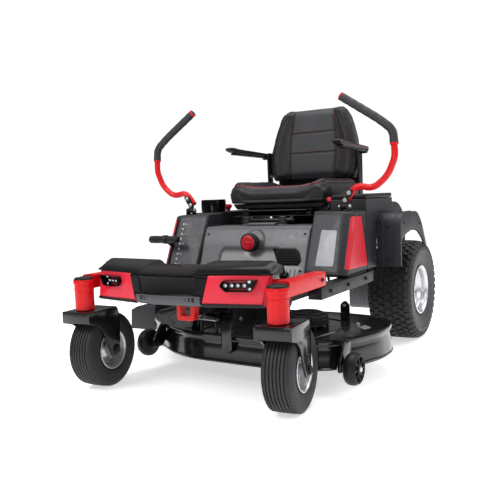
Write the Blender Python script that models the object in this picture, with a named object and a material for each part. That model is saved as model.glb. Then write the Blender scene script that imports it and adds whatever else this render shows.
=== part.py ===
"""Ride-on zero turn mower: steel chassis, caster front wheels, driven rear wheels,
side-discharge cutting deck, tipping seat and two drive levers.

Metres, +Z up. The front of the machine faces -Y and +X is the operator's left.
Pieces are laid out about the machine's own centre plane (x = 0); the root empty
then moves everything so that the origin is the bottom centre of the whole part.
"""
import math

import bmesh
import bpy
from mathutils import Matrix, Vector

for old in list(bpy.data.objects):
    bpy.data.objects.remove(old, do_unlink=True)

# ---------------------------------------------------------------- dimensions
ORIGIN_X = -0.0676          # bottom centre of the whole part, in layout coordinates
ORIGIN_Y = 0.1572
GAP = 0.0003               # clearance between two pieces that touch

CASTER_X, CASTER_Y = 0.398, -0.699
BARREL_LOW, BARREL_TOP = 0.302, 0.423
CASTER_TRAIL = 0.087
SWIVEL_LEFT, SWIVEL_RIGHT = 0.104, 0.053     # caster angle about Z, radians
FRONT_R, FRONT_W = 0.1395, 0.102             # 11 x 4.00-5 tyre
REAR_R, REAR_W = 0.2285, 0.198               # 18 x 7.50-8 tyre
REAR_X, REAR_Y = 0.384, 0.578
FORK_TOP = 0.2995
FORK_HALF = 0.062

RAIL_LOW, RAIL_TOP = 0.333, 0.3757
ARM_LOW, ARM_TOP = 0.376, 0.426

DECK_LOW, DECK_TOP = 0.085, 0.190
SPINDLE_LEFT = (0.256, -0.205)
SPINDLE_RIGHT = (-0.262, -0.068)             # set back from the left one
BLADE_R = 0.245
ROLLER_X0, ROLLER_X1, ROLLER_Y, ROLLER_Z, ROLLER_R = 0.502, 0.553, -0.425, 0.105, 0.055
RIGHT_ROLLER_SHIFT = (0.1515, 0.049, 0.009)  # the right roller sits further in, ahead of the right blade
CHUTE_HINGE = (-0.5535, 0.1965)              # x, z

LEVER_Y, LEVER_Z = -0.058, 0.636             # drive hinge, along X
LEVER_SWING_X, LEVER_SWING_Z = 0.362, 0.660  # outward swing hinge, along Y
TUBE_Y = -0.034
TUBE_R = 0.0127
GRIP_R = 0.0165

SEAT_HINGE_Z = 0.585
ARM_PIVOT = (0.450, 0.880)                   # y, z
HEIGHT_PIVOT = (0.000, 0.396)                # y, z
PEDAL_PIVOT = (-0.245, 0.386)                # y, z
CAP_Z = 0.505

root = bpy.data.objects.new("origin", None)
root.location = (-ORIGIN_X, -ORIGIN_Y, 0.0)
bpy.context.collection.objects.link(root)


# ---------------------------------------------------------------- materials
def material(name, colour, roughness, metallic=0.0):
    m = bpy.data.materials.new(name)
    m.use_nodes = True
    b = m.node_tree.nodes["Principled BSDF"]
    b.inputs["Base Color"].default_value = (*colour, 1.0)
    b.inputs["Roughness"].default_value = roughness
    b.inputs["Metallic"].default_value = metallic
    return m


LOOK = {
    "frame_red": ((0.62, 0.012, 0.02), 0.32, 0.0),
    "panel_red": ((0.78, 0.05, 0.08), 0.38, 0.0),
    "frame_black": ((0.012, 0.012, 0.013), 0.30, 0.0),
    "gloss_black": ((0.008, 0.008, 0.009), 0.12, 0.0),
    "charcoal": ((0.045, 0.045, 0.052), 0.55, 0.0),
    "grey_panel": ((0.19, 0.19, 0.20), 0.50, 0.0),
    "tyre": ((0.018, 0.018, 0.019), 0.75, 0.0),
    "silver": ((0.62, 0.63, 0.66), 0.35, 0.9),
    "vinyl": ((0.032, 0.032, 0.036), 0.50, 0.0),
    "foam": ((0.03, 0.03, 0.033), 0.85, 0.0),
    "alloy": ((0.33, 0.33, 0.35), 0.45, 0.8),
}


# ---------------------------------------------------------------- shape tools
def clean(bm):
    bmesh.ops.remove_doubles(bm, verts=bm.verts, dist=1e-6)
    bmesh.ops.recalc_face_normals(bm, faces=bm.faces)
    return bm


def prism(outline, axis, low, high):
    """Extrude an outline along an axis. The outline holds the other two coordinates in X, Y, Z order."""
    bm = bmesh.new()
    k = "XYZ".index(axis)

    def place(p, h):
        q = [0.0, 0.0, 0.0]
        a, b = [i for i in range(3) if i != k]
        q[a], q[b], q[k] = p[0], p[1], h
        return q

    lower = [bm.verts.new(place(p, low)) for p in outline]
    upper = [bm.verts.new(place(p, high)) for p in outline]
    n = len(outline)
    bm.faces.new(lower)
    bm.faces.new(upper)
    for i in range(n):
        bm.faces.new((lower[i], lower[(i + 1) % n], upper[(i + 1) % n], upper[i]))
    return clean(bm)


def box(low, high, bevel=0.0, segments=1):
    bm = prism([(low[0], low[1]), (high[0], low[1]), (high[0], high[1]), (low[0], high[1])], "Z", low[2], high[2])
    if bevel:
        bmesh.ops.bevel(bm, geom=bm.edges[:], offset=bevel, segments=segments, profile=0.5, affect="EDGES")
    return clean(bm)


def hull(points):
    bm = bmesh.new()
    for p in points:
        bm.verts.new(p)
    out = bmesh.ops.convex_hull(bm, input=bm.verts[:])
    loose = [g for g in out["geom_interior"] + out["geom_unused"] if isinstance(g, bmesh.types.BMVert)]
    bmesh.ops.delete(bm, geom=list(set(loose)), context="VERTS")
    return clean(bm)


def turn(profile, axis, centre, segments=32, flats=False):
    """Turn (radius, height) points about an axis. A profile that starts and ends at radius 0 is solid; any other closes into a ring.
    With flats, the radius is measured to the middle of each facet and one facet faces straight down."""
    grow, phase = (1 / math.cos(math.pi / segments), math.pi / segments) if flats else (1.0, 0.0)
    bm = bmesh.new()
    k = "XYZ".index(axis)
    a, b = [(1, 2), (2, 0), (0, 1)][k]
    rings = []
    for r, h in profile:
        row = []
        for i in range(segments if r > 0 else 1):
            t = 2 * math.pi * i / segments + phase
            q = [0.0, 0.0, 0.0]
            q[a], q[b], q[k] = r * grow * math.cos(t), r * grow * math.sin(t), h
            row.append(bm.verts.new(Vector(q) + Vector(centre)))
        rings.append(row)
    solid = profile[0][0] == 0
    pairs = list(zip(rings, rings[1:])) + ([] if solid else [(rings[-1], rings[0])])
    for lo, hi in pairs:
        for i in range(segments):
            j = (i + 1) % segments
            corners = [lo[i % len(lo)], lo[j % len(lo)], hi[j % len(hi)], hi[i % len(hi)]]
            seen = []
            for v in corners:
                if v not in seen:
                    seen.append(v)
            if len(seen) > 2:
                bm.faces.new(seen)
    return clean(bm)


def rod(radius, axis, centre, low, high, segments=20):
    return turn([(0, low), (radius, low), (radius, high), (0, high)], axis, centre, segments)


def smooth_path(points, radius=0.03, steps=4):
    """Round each corner of a path with a short arc-like curve."""
    pts = [Vector(p) for p in points]
    out = [pts[0]]
    for before, here, after in zip(pts, pts[1:], pts[2:]):
        a, b = before - here, after - here
        d = min(radius, a.length * 0.49, b.length * 0.49)
        p, q = here + a.normalized() * d, here + b.normalized() * d
        for i in range(steps + 1):
            t = i / steps
            out.append(p * (1 - t) ** 2 + here * 2 * t * (1 - t) + q * t * t)
    out.append(pts[-1])
    return out


def tube(path, radius, segments=12, ends=(1.0, 1.0)):
    bm = bmesh.new()
    pts = [Vector(p) for p in path]
    tangent = []
    for i in range(len(pts)):
        d = pts[min(i + 1, len(pts) - 1)] - pts[max(i - 1, 0)]
        tangent.append(d.normalized())
    side = tangent[0].orthogonal().normalized()
    rings = []
    for p, t in zip(pts, tangent):
        side = (side - t * side.dot(t)).normalized()
        other = t.cross(side)
        rings.append([bm.verts.new(p + (side * math.cos(2 * math.pi * i / segments) + other * math.sin(2 * math.pi * i / segments)) * radius) for i in range(segments)])
    for lo, hi in zip(rings, rings[1:]):
        for i in range(segments):
            j = (i + 1) % segments
            bm.faces.new((lo[i], lo[j], hi[j], hi[i]))
    bm.faces.new(rings[0][::-1])
    bm.faces.new(rings[-1])
    return clean(bm)


def as_object(bm, name):
    mesh = bpy.data.meshes.new(name)
    bm.to_mesh(mesh)
    bm.free()
    ob = bpy.data.objects.new(name, mesh)
    bpy.context.collection.objects.link(ob)
    return ob


def combine(base, others, operation):
    """Join or cut closed shapes one after another and return the result."""
    for other in others:
        a, b = as_object(base, "work_a"), as_object(other, "work_b")
        mod = a.modifiers.new("join", "BOOLEAN")
        mod.operation = operation
        mod.solver = "EXACT"
        mod.object = b
        bpy.context.view_layer.update()
        got = bpy.data.meshes.new_from_object(a.evaluated_get(bpy.context.evaluated_depsgraph_get()))
        base = bmesh.new()
        base.from_mesh(got)
        for ob in (a, b):
            mesh = ob.data
            bpy.data.objects.remove(ob, do_unlink=True)
            bpy.data.meshes.remove(mesh)
        bpy.data.meshes.remove(got)
        bmesh.ops.remove_doubles(base, verts=base.verts, dist=2e-6)
        bmesh.ops.dissolve_degenerate(base, edges=base.edges, dist=2e-6)
    return base


def join(*shapes):
    return combine(shapes[0], shapes[1:], "UNION")


def cut(base, *cutters):
    return combine(base, cutters, "DIFFERENCE")


def moved(bm, matrix):
    bmesh.ops.transform(bm, matrix=matrix, verts=bm.verts)
    return bm


def mirrored(bm):
    """The same piece on the other side of the centre plane."""
    bmesh.ops.scale(bm, vec=(-1, 1, 1), verts=bm.verts)
    return clean(bm)


def piece(name, bm, look, pivot=(0.0, 0.0, 0.0)):
    bmesh.ops.recalc_face_normals(bm, faces=bm.faces)
    bmesh.ops.translate(bm, vec=-Vector(pivot), verts=bm.verts)
    ob = as_object(bm, name)
    ob.parent = root
    ob.location = pivot
    ob.data.shade_smooth()
    ob.data.set_sharp_from_angle(angle=math.radians(30))
    colour, roughness, metallic = LOOK[look]
    ob.data.materials.clear()
    ob.data.materials.append(material(name, colour, roughness, metallic))
    return ob


# ---------------------------------------------------------------- chassis
def barrel():
    return turn(
        [(0, BARREL_TOP), (0.015, BARREL_TOP), (0.0165, BARREL_TOP - 0.003), (0.031, BARREL_TOP - 0.003), (0.0375, BARREL_TOP - 0.009),
         (0.0375, 0.398), (0.034, 0.396), (0.034, BARREL_LOW), (0.0145, BARREL_LOW), (0.0145, 0.402), (0, 0.402)],
        "Z", (CASTER_X, CASTER_Y, 0), 20)


def front_arm():
    bar = box((0.376, -0.690, ARM_LOW), (0.426, -0.398, ARM_TOP), 0.003)
    cope = turn([(0, 0.30), (0.0346, 0.30), (0.0346, 0.3957), (0.0381, 0.3957), (0.0381, 0.45), (0, 0.45)], "Z", (CASTER_X, CASTER_Y, 0), 20)
    return cut(bar, cope)


def rail():
    return prism([(0.376, -0.44), (0.426, -0.44), (0.426, 0.090), (0.2575, 0.285), (0.2575, 0.970), (0.2125, 0.970), (0.2125, 0.268), (0.376, 0.075)],
                 "Z", RAIL_LOW, RAIL_TOP)


for side, flip in (("left", lambda b: b), ("right", mirrored)):
    piece("caster_barrel_" + side, flip(barrel()), "frame_red")
    piece("front_arm_" + side, flip(front_arm()), "frame_red")
    piece("frame_rail_" + side, flip(rail()), "frame_black")

# cross beam between the two arms, with the tow bracket welded under it
beam = box((-0.3755, -0.632, 0.388), (0.3755, -0.597, 0.424), 0.003)
tow = prism([(-0.022, 0.276), (0.046, 0.276), (0.052, 0.300), (0.052, 0.400), (-0.022, 0.400)], "Y", -0.650, -0.622)
tow_eye = box((-0.006, -0.70, 0.292), (0.036, -0.60, 0.352))
piece("front_beam", cut(join(beam, tow), tow_eye), "frame_red")

piece("engine_plate", box((-0.2575, 0.500, RAIL_TOP + GAP), (0.2575, 0.970, 0.3820), 0.001), "frame_black")

guard_path = [(0.235, 0.9705, 0.354), (0.235, 1.045, 0.354), (0.235, 1.058, 0.400), (0.235, 1.058, 0.560), (-0.235, 1.058, 0.560),
              (-0.235, 1.058, 0.400), (-0.235, 1.045, 0.354), (-0.235, 0.9705, 0.354)]
piece("rear_guard", tube(smooth_path(guard_path, 0.045, 3), 0.0155, 8), "frame_black")

# ---------------------------------------------------------------- front bodywork
def raised_hood():
    pts = []
    for x, front, top in ((0.092, -0.732, 0.470), (0.335, -0.668, 0.474)):
        pts += [(x, front, 0.4425), (x, front + 0.012, top - 0.012), (x, front + 0.034, top), (x, -0.606, top + 0.010), (x, -0.596, top + 0.002), (x, -0.596, 0.4425)]
    pts += [(0.366, -0.655, 0.4425), (0.362, -0.600, 0.4425)]
    return hull(pts)


centre_hood = hull([(s * 0.120, y, z) for s in (-1, 1) for y, z in ((-0.737, 0.4425), (-0.728, 0.458), (-0.700, 0.464), (-0.600, 0.466), (-0.600, 0.4425))])
piece("hood", join(centre_hood, raised_hood(), mirrored(raised_hood())), "gloss_black")

piece("grille_panel", hull([(s * 0.1575, -0.722, 0.4420) for s in (-1, 1)] + [(s * 0.134, -0.727, 0.351) for s in (-1, 1)]
                           + [(s * 0.126, -0.712, 0.338) for s in (-1, 1)] + [(s * 0.1575, -0.690, 0.4420) for s in (-1, 1)]
                           + [(s * 0.134, -0.690, 0.338) for s in (-1, 1)] + [(0.0, -0.735, 0.4420), (0.0, -0.739, 0.351)]), "gloss_black")


def headlight_panel():
    body = hull([(0.1585, -0.722, 0.4420), (0.350, -0.661, 0.4420), (0.1350, -0.728, 0.351), (0.336, -0.688, 0.351), (0.340, -0.672, 0.342),
                 (0.1380, -0.712, 0.342), (0.352, -0.636, 0.4420), (0.344, -0.636, 0.346), (0.1585, -0.690, 0.4420), (0.1350, -0.690, 0.346)])
    # hexagonal lamp recess in the front face
    slope = math.atan2(0.061, 0.1915)
    lamp = prism([(-0.062, -0.001), (-0.050, 0.017), (0.060, 0.017), (0.040, -0.019), (-0.044, -0.019)], "Y", -0.020, 0.012)
    moved(lamp, Matrix.Translation((0.262, -0.697, 0.413)) @ Matrix.Rotation(slope, 4, "Z"))
    keep = hull([(0.1630, -0.60, 0.46), (0.1630, -0.80, 0.46), (0.1345, -0.60, 0.33), (0.1345, -0.80, 0.33), (0.05, -0.60, 0.46), (0.05, -0.80, 0.46), (0.05, -0.60, 0.33), (0.05, -0.80, 0.33)])
    return cut(body, keep, lamp)


for side, flip in (("left", lambda b: b), ("right", mirrored)):
    piece("headlight_panel_" + side, flip(headlight_panel()), "panel_red")

# ---------------------------------------------------------------- foot area and side bodies
piece("floor_pan", box((-0.3745, -0.585, 0.3440), (0.3745, -0.300, 0.3500)), "charcoal")

panel = prism([(0.018, 0.5545), (0.018, 0.5665), (-0.112, 0.5665), (-0.122, 0.5560), (-0.145, 0.510), (-0.160, 0.464), (-0.180, 0.410), (-0.205, 0.360),
               (-0.191, 0.360), (-0.168, 0.410), (-0.148, 0.464), (-0.133, 0.510), (-0.105, 0.5545)], "X", -0.2445, 0.2445)
piece("foot_panel", cut(panel, rod(0.0265, "Y", (0, 0, CAP_Z), -0.25, -0.10, 24)), "grey_panel")


def console():
    return hull([(0.246, -0.092, 0.621), (0.377, -0.115, 0.618), (0.392, -0.214, 0.384), (0.250, -0.206, 0.384), (0.420, -0.088, 0.612), (0.4205, -0.196, 0.384),
                 (0.246, 0.020, 0.621), (0.4195, 0.020, 0.618), (0.4205, 0.020, 0.384), (0.250, 0.020, 0.384)])


def ears():
    return [prism([(LEVER_Y - 0.016, 0.612), (LEVER_Y + 0.016, 0.612), (LEVER_Y + 0.010, 0.646), (LEVER_Y - 0.010, 0.646)], "X", a, a + 0.007) for a in (0.3435, 0.3735)]


piece("console_left", join(console(), *ears()), "charcoal")
slot = box((-0.3975, -0.30, 0.37), (-0.3845, 0.0145, 0.600))
piece("console_right", cut(mirrored(join(console(), *ears())), slot), "charcoal")


def fender():
    outer = prism([(0.130, 0.385), (0.130, 0.565), (0.160, 0.600), (0.365, 0.600), (0.430, 0.552), (0.508, 0.436), (0.489, 0.436), (0.450, 0.475), (0.380, 0.515),
                   (0.300, 0.527), (0.200, 0.512), (0.142, 0.487), (0.1405, 0.385)], "X", 0.4210, 0.520)
    inner = prism([(0.1420, 0.30), (0.1420, 0.556), (0.172, 0.590), (0.360, 0.590), (0.420, 0.545), (0.560, 0.34), (0.560, 0.30)], "X", 0.431, 0.5105)
    inside = prism([(0.340, 0.30), (0.340, 0.5895), (0.3605, 0.5895), (0.4205, 0.5445), (0.5605, 0.34), (0.5605, 0.30)], "X", 0.400, 0.470)
    behind = box((0.400, 0.442, 0.30), (0.5105, 0.600, 0.62))
    return cut(outer, inner, inside, behind)


for side, flip in (("left", lambda b: b), ("right", mirrored)):
    piece("fender_" + side, flip(fender()), "charcoal")

SIDE_LOW = [(0.0205, 0.386), (0.1296, 0.386), (0.1296, 0.500), (0.500, 0.500)]
piece("storage_box", prism([*SIDE_LOW, (0.500, 0.575), (0.470, 0.610), (0.420, 0.636), (0.372, 0.643), (0.335, 0.643), (0.335, 0.672), (0.325, 0.682), (0.0325, 0.682), (0.0205, 0.672)], "X", 0.2705, 0.4203), "charcoal")
piece("side_tray", cut(mirrored(prism([*SIDE_LOW, (0.500, 0.612), (0.488, 0.622), (0.0205, 0.622)], "X", 0.2705, 0.4203)),
                       rod(0.0408, "Z", (-0.350, 0.105, 0), 0.54, 0.70, 20)), "charcoal")
piece("cup_holder", turn([(0.0400, 0.5450), (0.0400, 0.6225), (0.0560, 0.6225), (0.0560, 0.6800), (0.0490, 0.6800), (0.0365, 0.6300), (0.0350, 0.5490), (0.001, 0.5490), (0.001, 0.5450)],
                         "Z", (-0.350, 0.105, 0), 20), "gloss_black")

tank = box((-0.205, -0.098, 0.392), (0.205, 0.380, 0.550), 0.018, 2)
neck = rod(0.0235, "Y", (0, 0, CAP_Z), -0.180, -0.080, 24)
piece("fuel_tank", join(tank, neck), "frame_black")

# ---------------------------------------------------------------- engine and drive
block = turn([(0, 0.3825), (0.125, 0.3825), (0.135, 0.400), (0.135, 0.480), (0.120, 0.500), (0, 0.500)], "Z", (0, 0.735, 0), 20)
heads = [box((0.080, 0.600, 0.410), (0.222, 0.720, 0.492), 0.008), box((-0.222, 0.600, 0.410), (-0.080, 0.720, 0.492), 0.008)]
silencer = rod(0.045, "X", (0, 0.945, 0.440), -0.160, 0.160, 20)
pipes = [box((s - 0.014, 0.840, 0.425), (s + 0.014, 0.930, 0.455)) for s in (-0.06, 0.06)]
piece("engine", join(block, *heads, silencer, *pipes), "alloy")
piece("engine_cover", turn([(0, 0.5005), (0.150, 0.5005), (0.168, 0.512), (0.168, 0.560), (0.150, 0.596), (0.100, 0.612), (0.100, 0.622), (0, 0.622)], "Z", (0, 0.735, 0), 24), "gloss_black")


def transaxle():
    case = box((0.165, 0.440, 0.150), (0.274, 0.690, 0.300), 0.014)
    boss = rod(0.030, "X", (0, REAR_Y, REAR_R), 0.25, 0.2835, 16)
    shaft = rod(0.0125, "X", (0, REAR_Y, REAR_R), 0.26, 0.428, 16)
    pulley = rod(0.045, "Z", (0.224, 0.530, 0), 0.290, 0.328, 16)
    return join(case, boss, shaft, pulley)


def rear_tyre():
    half = [(0.105, -0.077), (0.118, -0.084), (0.150, -0.096), (0.185, -0.099), (0.213, -0.094), (0.2235, -0.082), (0.2285, -0.046)]
    return turn(half + [(r, -x) for r, x in reversed(half)], "X", (REAR_X, REAR_Y, REAR_R), 32, True)


def rear_rim():
    return turn([(0.1044, -0.0845), (0.1125, -0.0855), (0.1125, -0.0885), (0.0990, -0.0875), (0.0990, 0.0340), (0.0300, 0.0340), (0.0300, -0.0300), (0.0135, -0.0300),
                 (0.0135, 0.0460), (0.0280, 0.0460), (0.0320, 0.0400), (0.0780, 0.0400), (0.0930, 0.0580), (0.0970, 0.0875), (0.1125, 0.0885), (0.1125, 0.0855), (0.1044, 0.0845)],
                "X", (REAR_X, REAR_Y, REAR_R), 24)


for side, flip, s in (("left", lambda b: b, 1), ("right", mirrored, -1)):
    piece("transaxle_" + side, flip(transaxle()), "alloy")
    piece("rear_tyre_" + side, flip(rear_tyre()), "tyre", (s * REAR_X, REAR_Y, REAR_R))
    piece("rear_rim_" + side, flip(rear_rim()), "silver", (s * REAR_X, REAR_Y, REAR_R))


# ---------------------------------------------------------------- front casters
def fork():
    w = FORK_HALF
    plate = box((-w, -0.046, 0.2885), (w, 0.106, FORK_TOP))
    lip = box((-w, -0.054, 0.256), (w, -0.0455, FORK_TOP))
    leg = [(-0.054, 0.2990), (0.1055, 0.2990), (0.118, 0.262), (0.110, 0.122), (0.098, 0.114), (0.076, 0.114), (0.062, 0.124), (0.010, 0.238), (-0.054, 0.2565)]
    legs = [prism(leg, "X", -w, -w + 0.008), prism(leg, "X", w - 0.008, w)]
    axle = rod(0.010, "X", (0, CASTER_TRAIL, FRONT_R), -w - 0.004, w + 0.004, 16)
    heads = [rod(0.0145, "X", (0, CASTER_TRAIL, FRONT_R), a, a + 0.009, 6) for a in (-w - 0.0085, w - 0.0005)]
    stem = rod(0.0125, "Z", (0, 0, 0), 0.294, 0.398, 20)
    return join(plate, lip, *legs, axle, *heads, stem)


def front_tyre():
    half = [(0.066, -0.040), (0.076, -0.045), (0.100, -0.051), (0.120, -0.0505), (0.133, -0.046), (0.1385, -0.036), (0.1395, -0.018)]
    return turn(half + [(r, -x) for r, x in reversed(half)], "X", (0, CASTER_TRAIL, FRONT_R), 28, True)


def front_rim():
    return turn([(0.0653, -0.0465), (0.0735, -0.0475), (0.0735, -0.0500), (0.0615, -0.0495), (0.0600, -0.0100), (0.0210, -0.0080), (0.0210, -0.0530), (0.0110, -0.0530),
                 (0.0110, 0.0530), (0.0210, 0.0530), (0.0210, 0.0080), (0.0600, 0.0100), (0.0615, 0.0495), (0.0735, 0.0500), (0.0735, 0.0475), (0.0653, 0.0465)],
                "X", (0, CASTER_TRAIL, FRONT_R), 20)


for side, s, swivel in (("left", 1, SWIVEL_LEFT), ("right", -1, SWIVEL_RIGHT)):
    place = Matrix.Translation((s * CASTER_X, CASTER_Y, 0)) @ Matrix.Rotation(swivel, 4, "Z")
    hub = place @ Vector((0, CASTER_TRAIL, FRONT_R))
    piece("caster_fork_" + side, moved(fork(), place), "gloss_black", (s * CASTER_X, CASTER_Y, FORK_TOP))
    piece("front_tyre_" + side, moved(front_tyre(), place), "tyre", hub)
    piece("front_rim_" + side, moved(front_rim(), place), "silver", hub)


# ---------------------------------------------------------------- drive levers
def lever_base():
    boss = rod(0.0105, "X", (0, LEVER_Y, LEVER_Z), 0.3510, 0.3730, 16)
    plate = prism([(0.3525, 0.634), (0.3715, 0.634), (0.3715, 0.652), (0.3960, 0.692), (0.3900, 0.700), (0.3780, 0.700), (0.3525, 0.658)], "Y", LEVER_Y - 0.0035, LEVER_Y + 0.0095)
    return join(boss, plate)


TUBE_PATH = [(0.3605, 0.6610), (0.402, 0.716), (0.470, 0.701), (0.528, 0.748), (0.557, 0.815), (0.5545, 0.864)]
GRIP_PATH = [(0.5545, 0.8645), (0.551, 0.915), (0.500, 0.958), (0.345, 1.061)]


def lever_tube():
    return tube(smooth_path([(x, TUBE_Y, z) for x, z in TUBE_PATH], 0.030, 3), TUBE_R, 10)


def lever_grip():
    return tube(smooth_path([(x, TUBE_Y, z) for x, z in GRIP_PATH], 0.040, 4), GRIP_R, 10)


for side, flip, s in (("left", lambda b: b, 1), ("right", mirrored, -1)):
    piece("lever_base_" + side, flip(lever_base()), "frame_black", (s * 0.362, LEVER_Y, LEVER_Z))
    piece("lever_tube_" + side, flip(lever_tube()), "frame_red", (s * LEVER_SWING_X, TUBE_Y, LEVER_SWING_Z))
    piece("lever_grip_" + side, flip(lever_grip()), "foam", (s * LEVER_SWING_X, TUBE_Y, LEVER_SWING_Z))

# ---------------------------------------------------------------- cutting deck
LEFT_FRONT = [(0.150, -0.462), (0.270, -0.466), (0.360, -0.444), (0.440, -0.410), (0.488, -0.345), (0.522, -0.260), (0.546, -0.180)]
LEFT_REAR = [(0.546, -0.060), (0.505, 0.030), (0.420, 0.090), (0.250, 0.115)]
RIGHT_REAR = [(-0.130, 0.150), (-0.210, 0.190), (-0.310, 0.194), (-0.400, 0.168), (-0.480, 0.118), (-0.546, 0.085)]
RIGHT_FRONT = [(-0.546, -0.120), (-0.5068, -0.157), (-0.4754, -0.2174), (-0.4294, -0.2676), (-0.3721, -0.3041), (-0.3511, -0.3128), (-0.300, -0.352), (-0.244, -0.392), (-0.150, -0.432), (-0.078, -0.447)]
DECK_LINE = [(0.0, -0.452)] + LEFT_FRONT + LEFT_REAR + [(0.0, 0.108)] + RIGHT_REAR + RIGHT_FRONT


def about(points, k):
    return [(x * k, (y + 0.2) * k - 0.2) for x, y in points]


shell = prism(DECK_LINE, "Z", DECK_LOW, DECK_TOP)
hollow = prism(about(DECK_LINE, 0.991), "Z", 0.040, DECK_TOP - 0.004)
mouth = box((-0.62, -0.108, 0.040), (-0.500, 0.060, 0.1800))
holes = [rod(0.0165, "Z", (x, y, 0), 0.15, 0.25, 16) for x, y in (SPINDLE_RIGHT, SPINDLE_LEFT)]
turrets = [turn([(0.0165, 0.160), (0.030, 0.160), (0.045, 0.188), (0.045, 0.1965), (0.0165, 0.1965)], "Z", (x, y, 0), 16) for x, y in (SPINDLE_RIGHT, SPINDLE_LEFT)]


def roller_arm():
    web = prism([(-0.448, 0.090), (-0.405, 0.090), (-0.348, 0.130), (-0.348, 0.1895), (-0.400, 0.1895), (-0.448, 0.118)], "X", 0.4790, 0.4900)
    bolt = rod(0.0080, "X", (0, ROLLER_Y, ROLLER_Z), 0.485, 0.5560, 12)
    return join(web, bolt)


def right_roller_arm():
    web = prism([(-0.402, 0.098), (-0.352, 0.098), (-0.318, 0.120), (-0.318, 0.1895), (-0.345, 0.1895), (-0.402, 0.130)], "X", -0.3390, -0.3280)
    bolt = rod(0.0080, "X", (0, ROLLER_Y + RIGHT_ROLLER_SHIFT[1], ROLLER_Z + RIGHT_ROLLER_SHIFT[2]), -0.4045, -0.3340, 12)
    return join(web, bolt)


deck = cut(shell, hollow, mouth, *holes)
deck = join(deck, *turrets, roller_arm(), right_roller_arm())
piece("deck_shell", deck, "gloss_black")


def roller():
    return turn([(0.0092, ROLLER_X0), (0.022, ROLLER_X0), (0.045, ROLLER_X0 + 0.004), (0.052, ROLLER_X0 + 0.010), (ROLLER_R, 0.5275), (0.052, ROLLER_X1 - 0.010), (0.045, ROLLER_X1 - 0.003),
                 (0.0420, ROLLER_X1 - 0.003), (0.0400, ROLLER_X1 - 0.010), (0.0180, ROLLER_X1 - 0.010), (0.0160, ROLLER_X1), (0.0092, ROLLER_X1)],
                "X", (0, ROLLER_Y, ROLLER_Z), 20)


def spindle():
    shaft = rod(0.0125, "Z", (0, 0, 0), 0.100, 0.2400, 12)
    blade = box((-BLADE_R, -0.028, 0.1030), (BLADE_R, 0.028, 0.1080))
    wings = [box((BLADE_R - 0.075, 0.012, 0.1060), (BLADE_R, 0.028, 0.1240)),
             box((-BLADE_R, -0.028, 0.1060), (-BLADE_R + 0.075, -0.012, 0.1240))]
    pulley = turn([(0, 0.2060), (0.066, 0.2060), (0.066, 0.2085), (0.058, 0.2145), (0.066, 0.2205), (0.066, 0.2230), (0, 0.2230)], "Z", (0, 0, 0), 20)
    return join(blade, shaft, *wings, pulley)


for side, flip, (sx, sy) in (("left", lambda b: b, SPINDLE_LEFT), ("right", mirrored, SPINDLE_RIGHT)):
    piece("blade_spindle_" + side, moved(flip(spindle()), Matrix.Translation((sx, sy, 0))), "alloy", (sx, sy, 0.1055))
piece("gauge_roller_left", roller(), "tyre", ((ROLLER_X0 + ROLLER_X1) / 2, ROLLER_Y, ROLLER_Z))
piece("gauge_roller_right", moved(mirrored(roller()), Matrix.Translation(RIGHT_ROLLER_SHIFT)), "tyre",
      (-(ROLLER_X0 + ROLLER_X1) / 2 + RIGHT_ROLLER_SHIFT[0], ROLLER_Y + RIGHT_ROLLER_SHIFT[1], ROLLER_Z + RIGHT_ROLLER_SHIFT[2]))

chute_out = hull([(-0.5480, y, z) for y in (-0.112, 0.066) for z in (0.098, 0.2060)] + [(-0.6000, y, 0.2060) for y in (-0.112, 0.066)]
                 + [(-0.700, y, 0.184) for y in (-0.100, 0.054)] + [(-0.706, y, 0.094) for y in (-0.100, 0.054)] + [(-0.660, y, 0.200) for y in (-0.108, 0.062)])
chute_in = hull([(-0.520, y, z) for y in (-0.102, 0.056) for z in (0.060, 0.1945)] + [(-0.600, y, 0.1945) for y in (-0.102, 0.056)]
                + [(-0.660, y, 0.189) for y in (-0.098, 0.052)] + [(-0.690, y, 0.176) for y in (-0.090, 0.044)] + [(-0.696, y, 0.060) for y in (-0.090, 0.044)])
piece("discharge_chute", cut(chute_out, chute_in), "charcoal", (CHUTE_HINGE[0], -0.02, CHUTE_HINGE[1]))

# ---------------------------------------------------------------- seat
plate = box((-0.190, 0.012, 0.6000), (0.190, 0.462, 0.6040))
runners = [box((s - 0.011, 0.060, 0.6020), (s + 0.011, 0.440, 0.6305)) for s in (-0.150, 0.150)]
lugs = [prism([(-0.008, 0.580), (0.008, 0.580), (0.024, 0.6035), (0.012, 0.6035)], "X", s - 0.006, s + 0.006) for s in (-0.095, 0.095)]
knuckle = rod(0.009, "X", (0, 0, SEAT_HINGE_Z), -0.108, 0.108, 16)
piece("seat_plate", join(plate, *runners, *lugs, knuckle), "frame_black", (0, 0, SEAT_HINGE_Z))


def lean(z):
    """How far back the backrest's front face is at a height."""
    return 0.405 + 0.150 * (z - 0.700)


pan = hull([(s * 0.205, 0.070, 0.6310) for s in (-1, 1)] + [(s * 0.225, 0.070, 0.6560) for s in (-1, 1)] + [(s * 0.205, 0.500, 0.6310) for s in (-1, 1)] + [(s * 0.222, 0.500, 0.6560) for s in (-1, 1)])
back_shell = hull([(s * w, lean(z) + d, z) for s in (-1, 1) for w, z in ((0.212, 0.640), (0.212, 0.850), (0.145, 1.070)) for d in (0.078, 0.096)])
cross = box((-0.2385, 0.425, 0.6320), (0.2385, 0.475, 0.6560))
uprights = [box((0.2300, 0.428, 0.640), (0.2385, 0.474, 0.898)), box((-0.2385, 0.428, 0.640), (-0.2300, 0.474, 0.898))]
piece("seat_pan", join(pan, back_shell, cross, *uprights), "frame_black")

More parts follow.
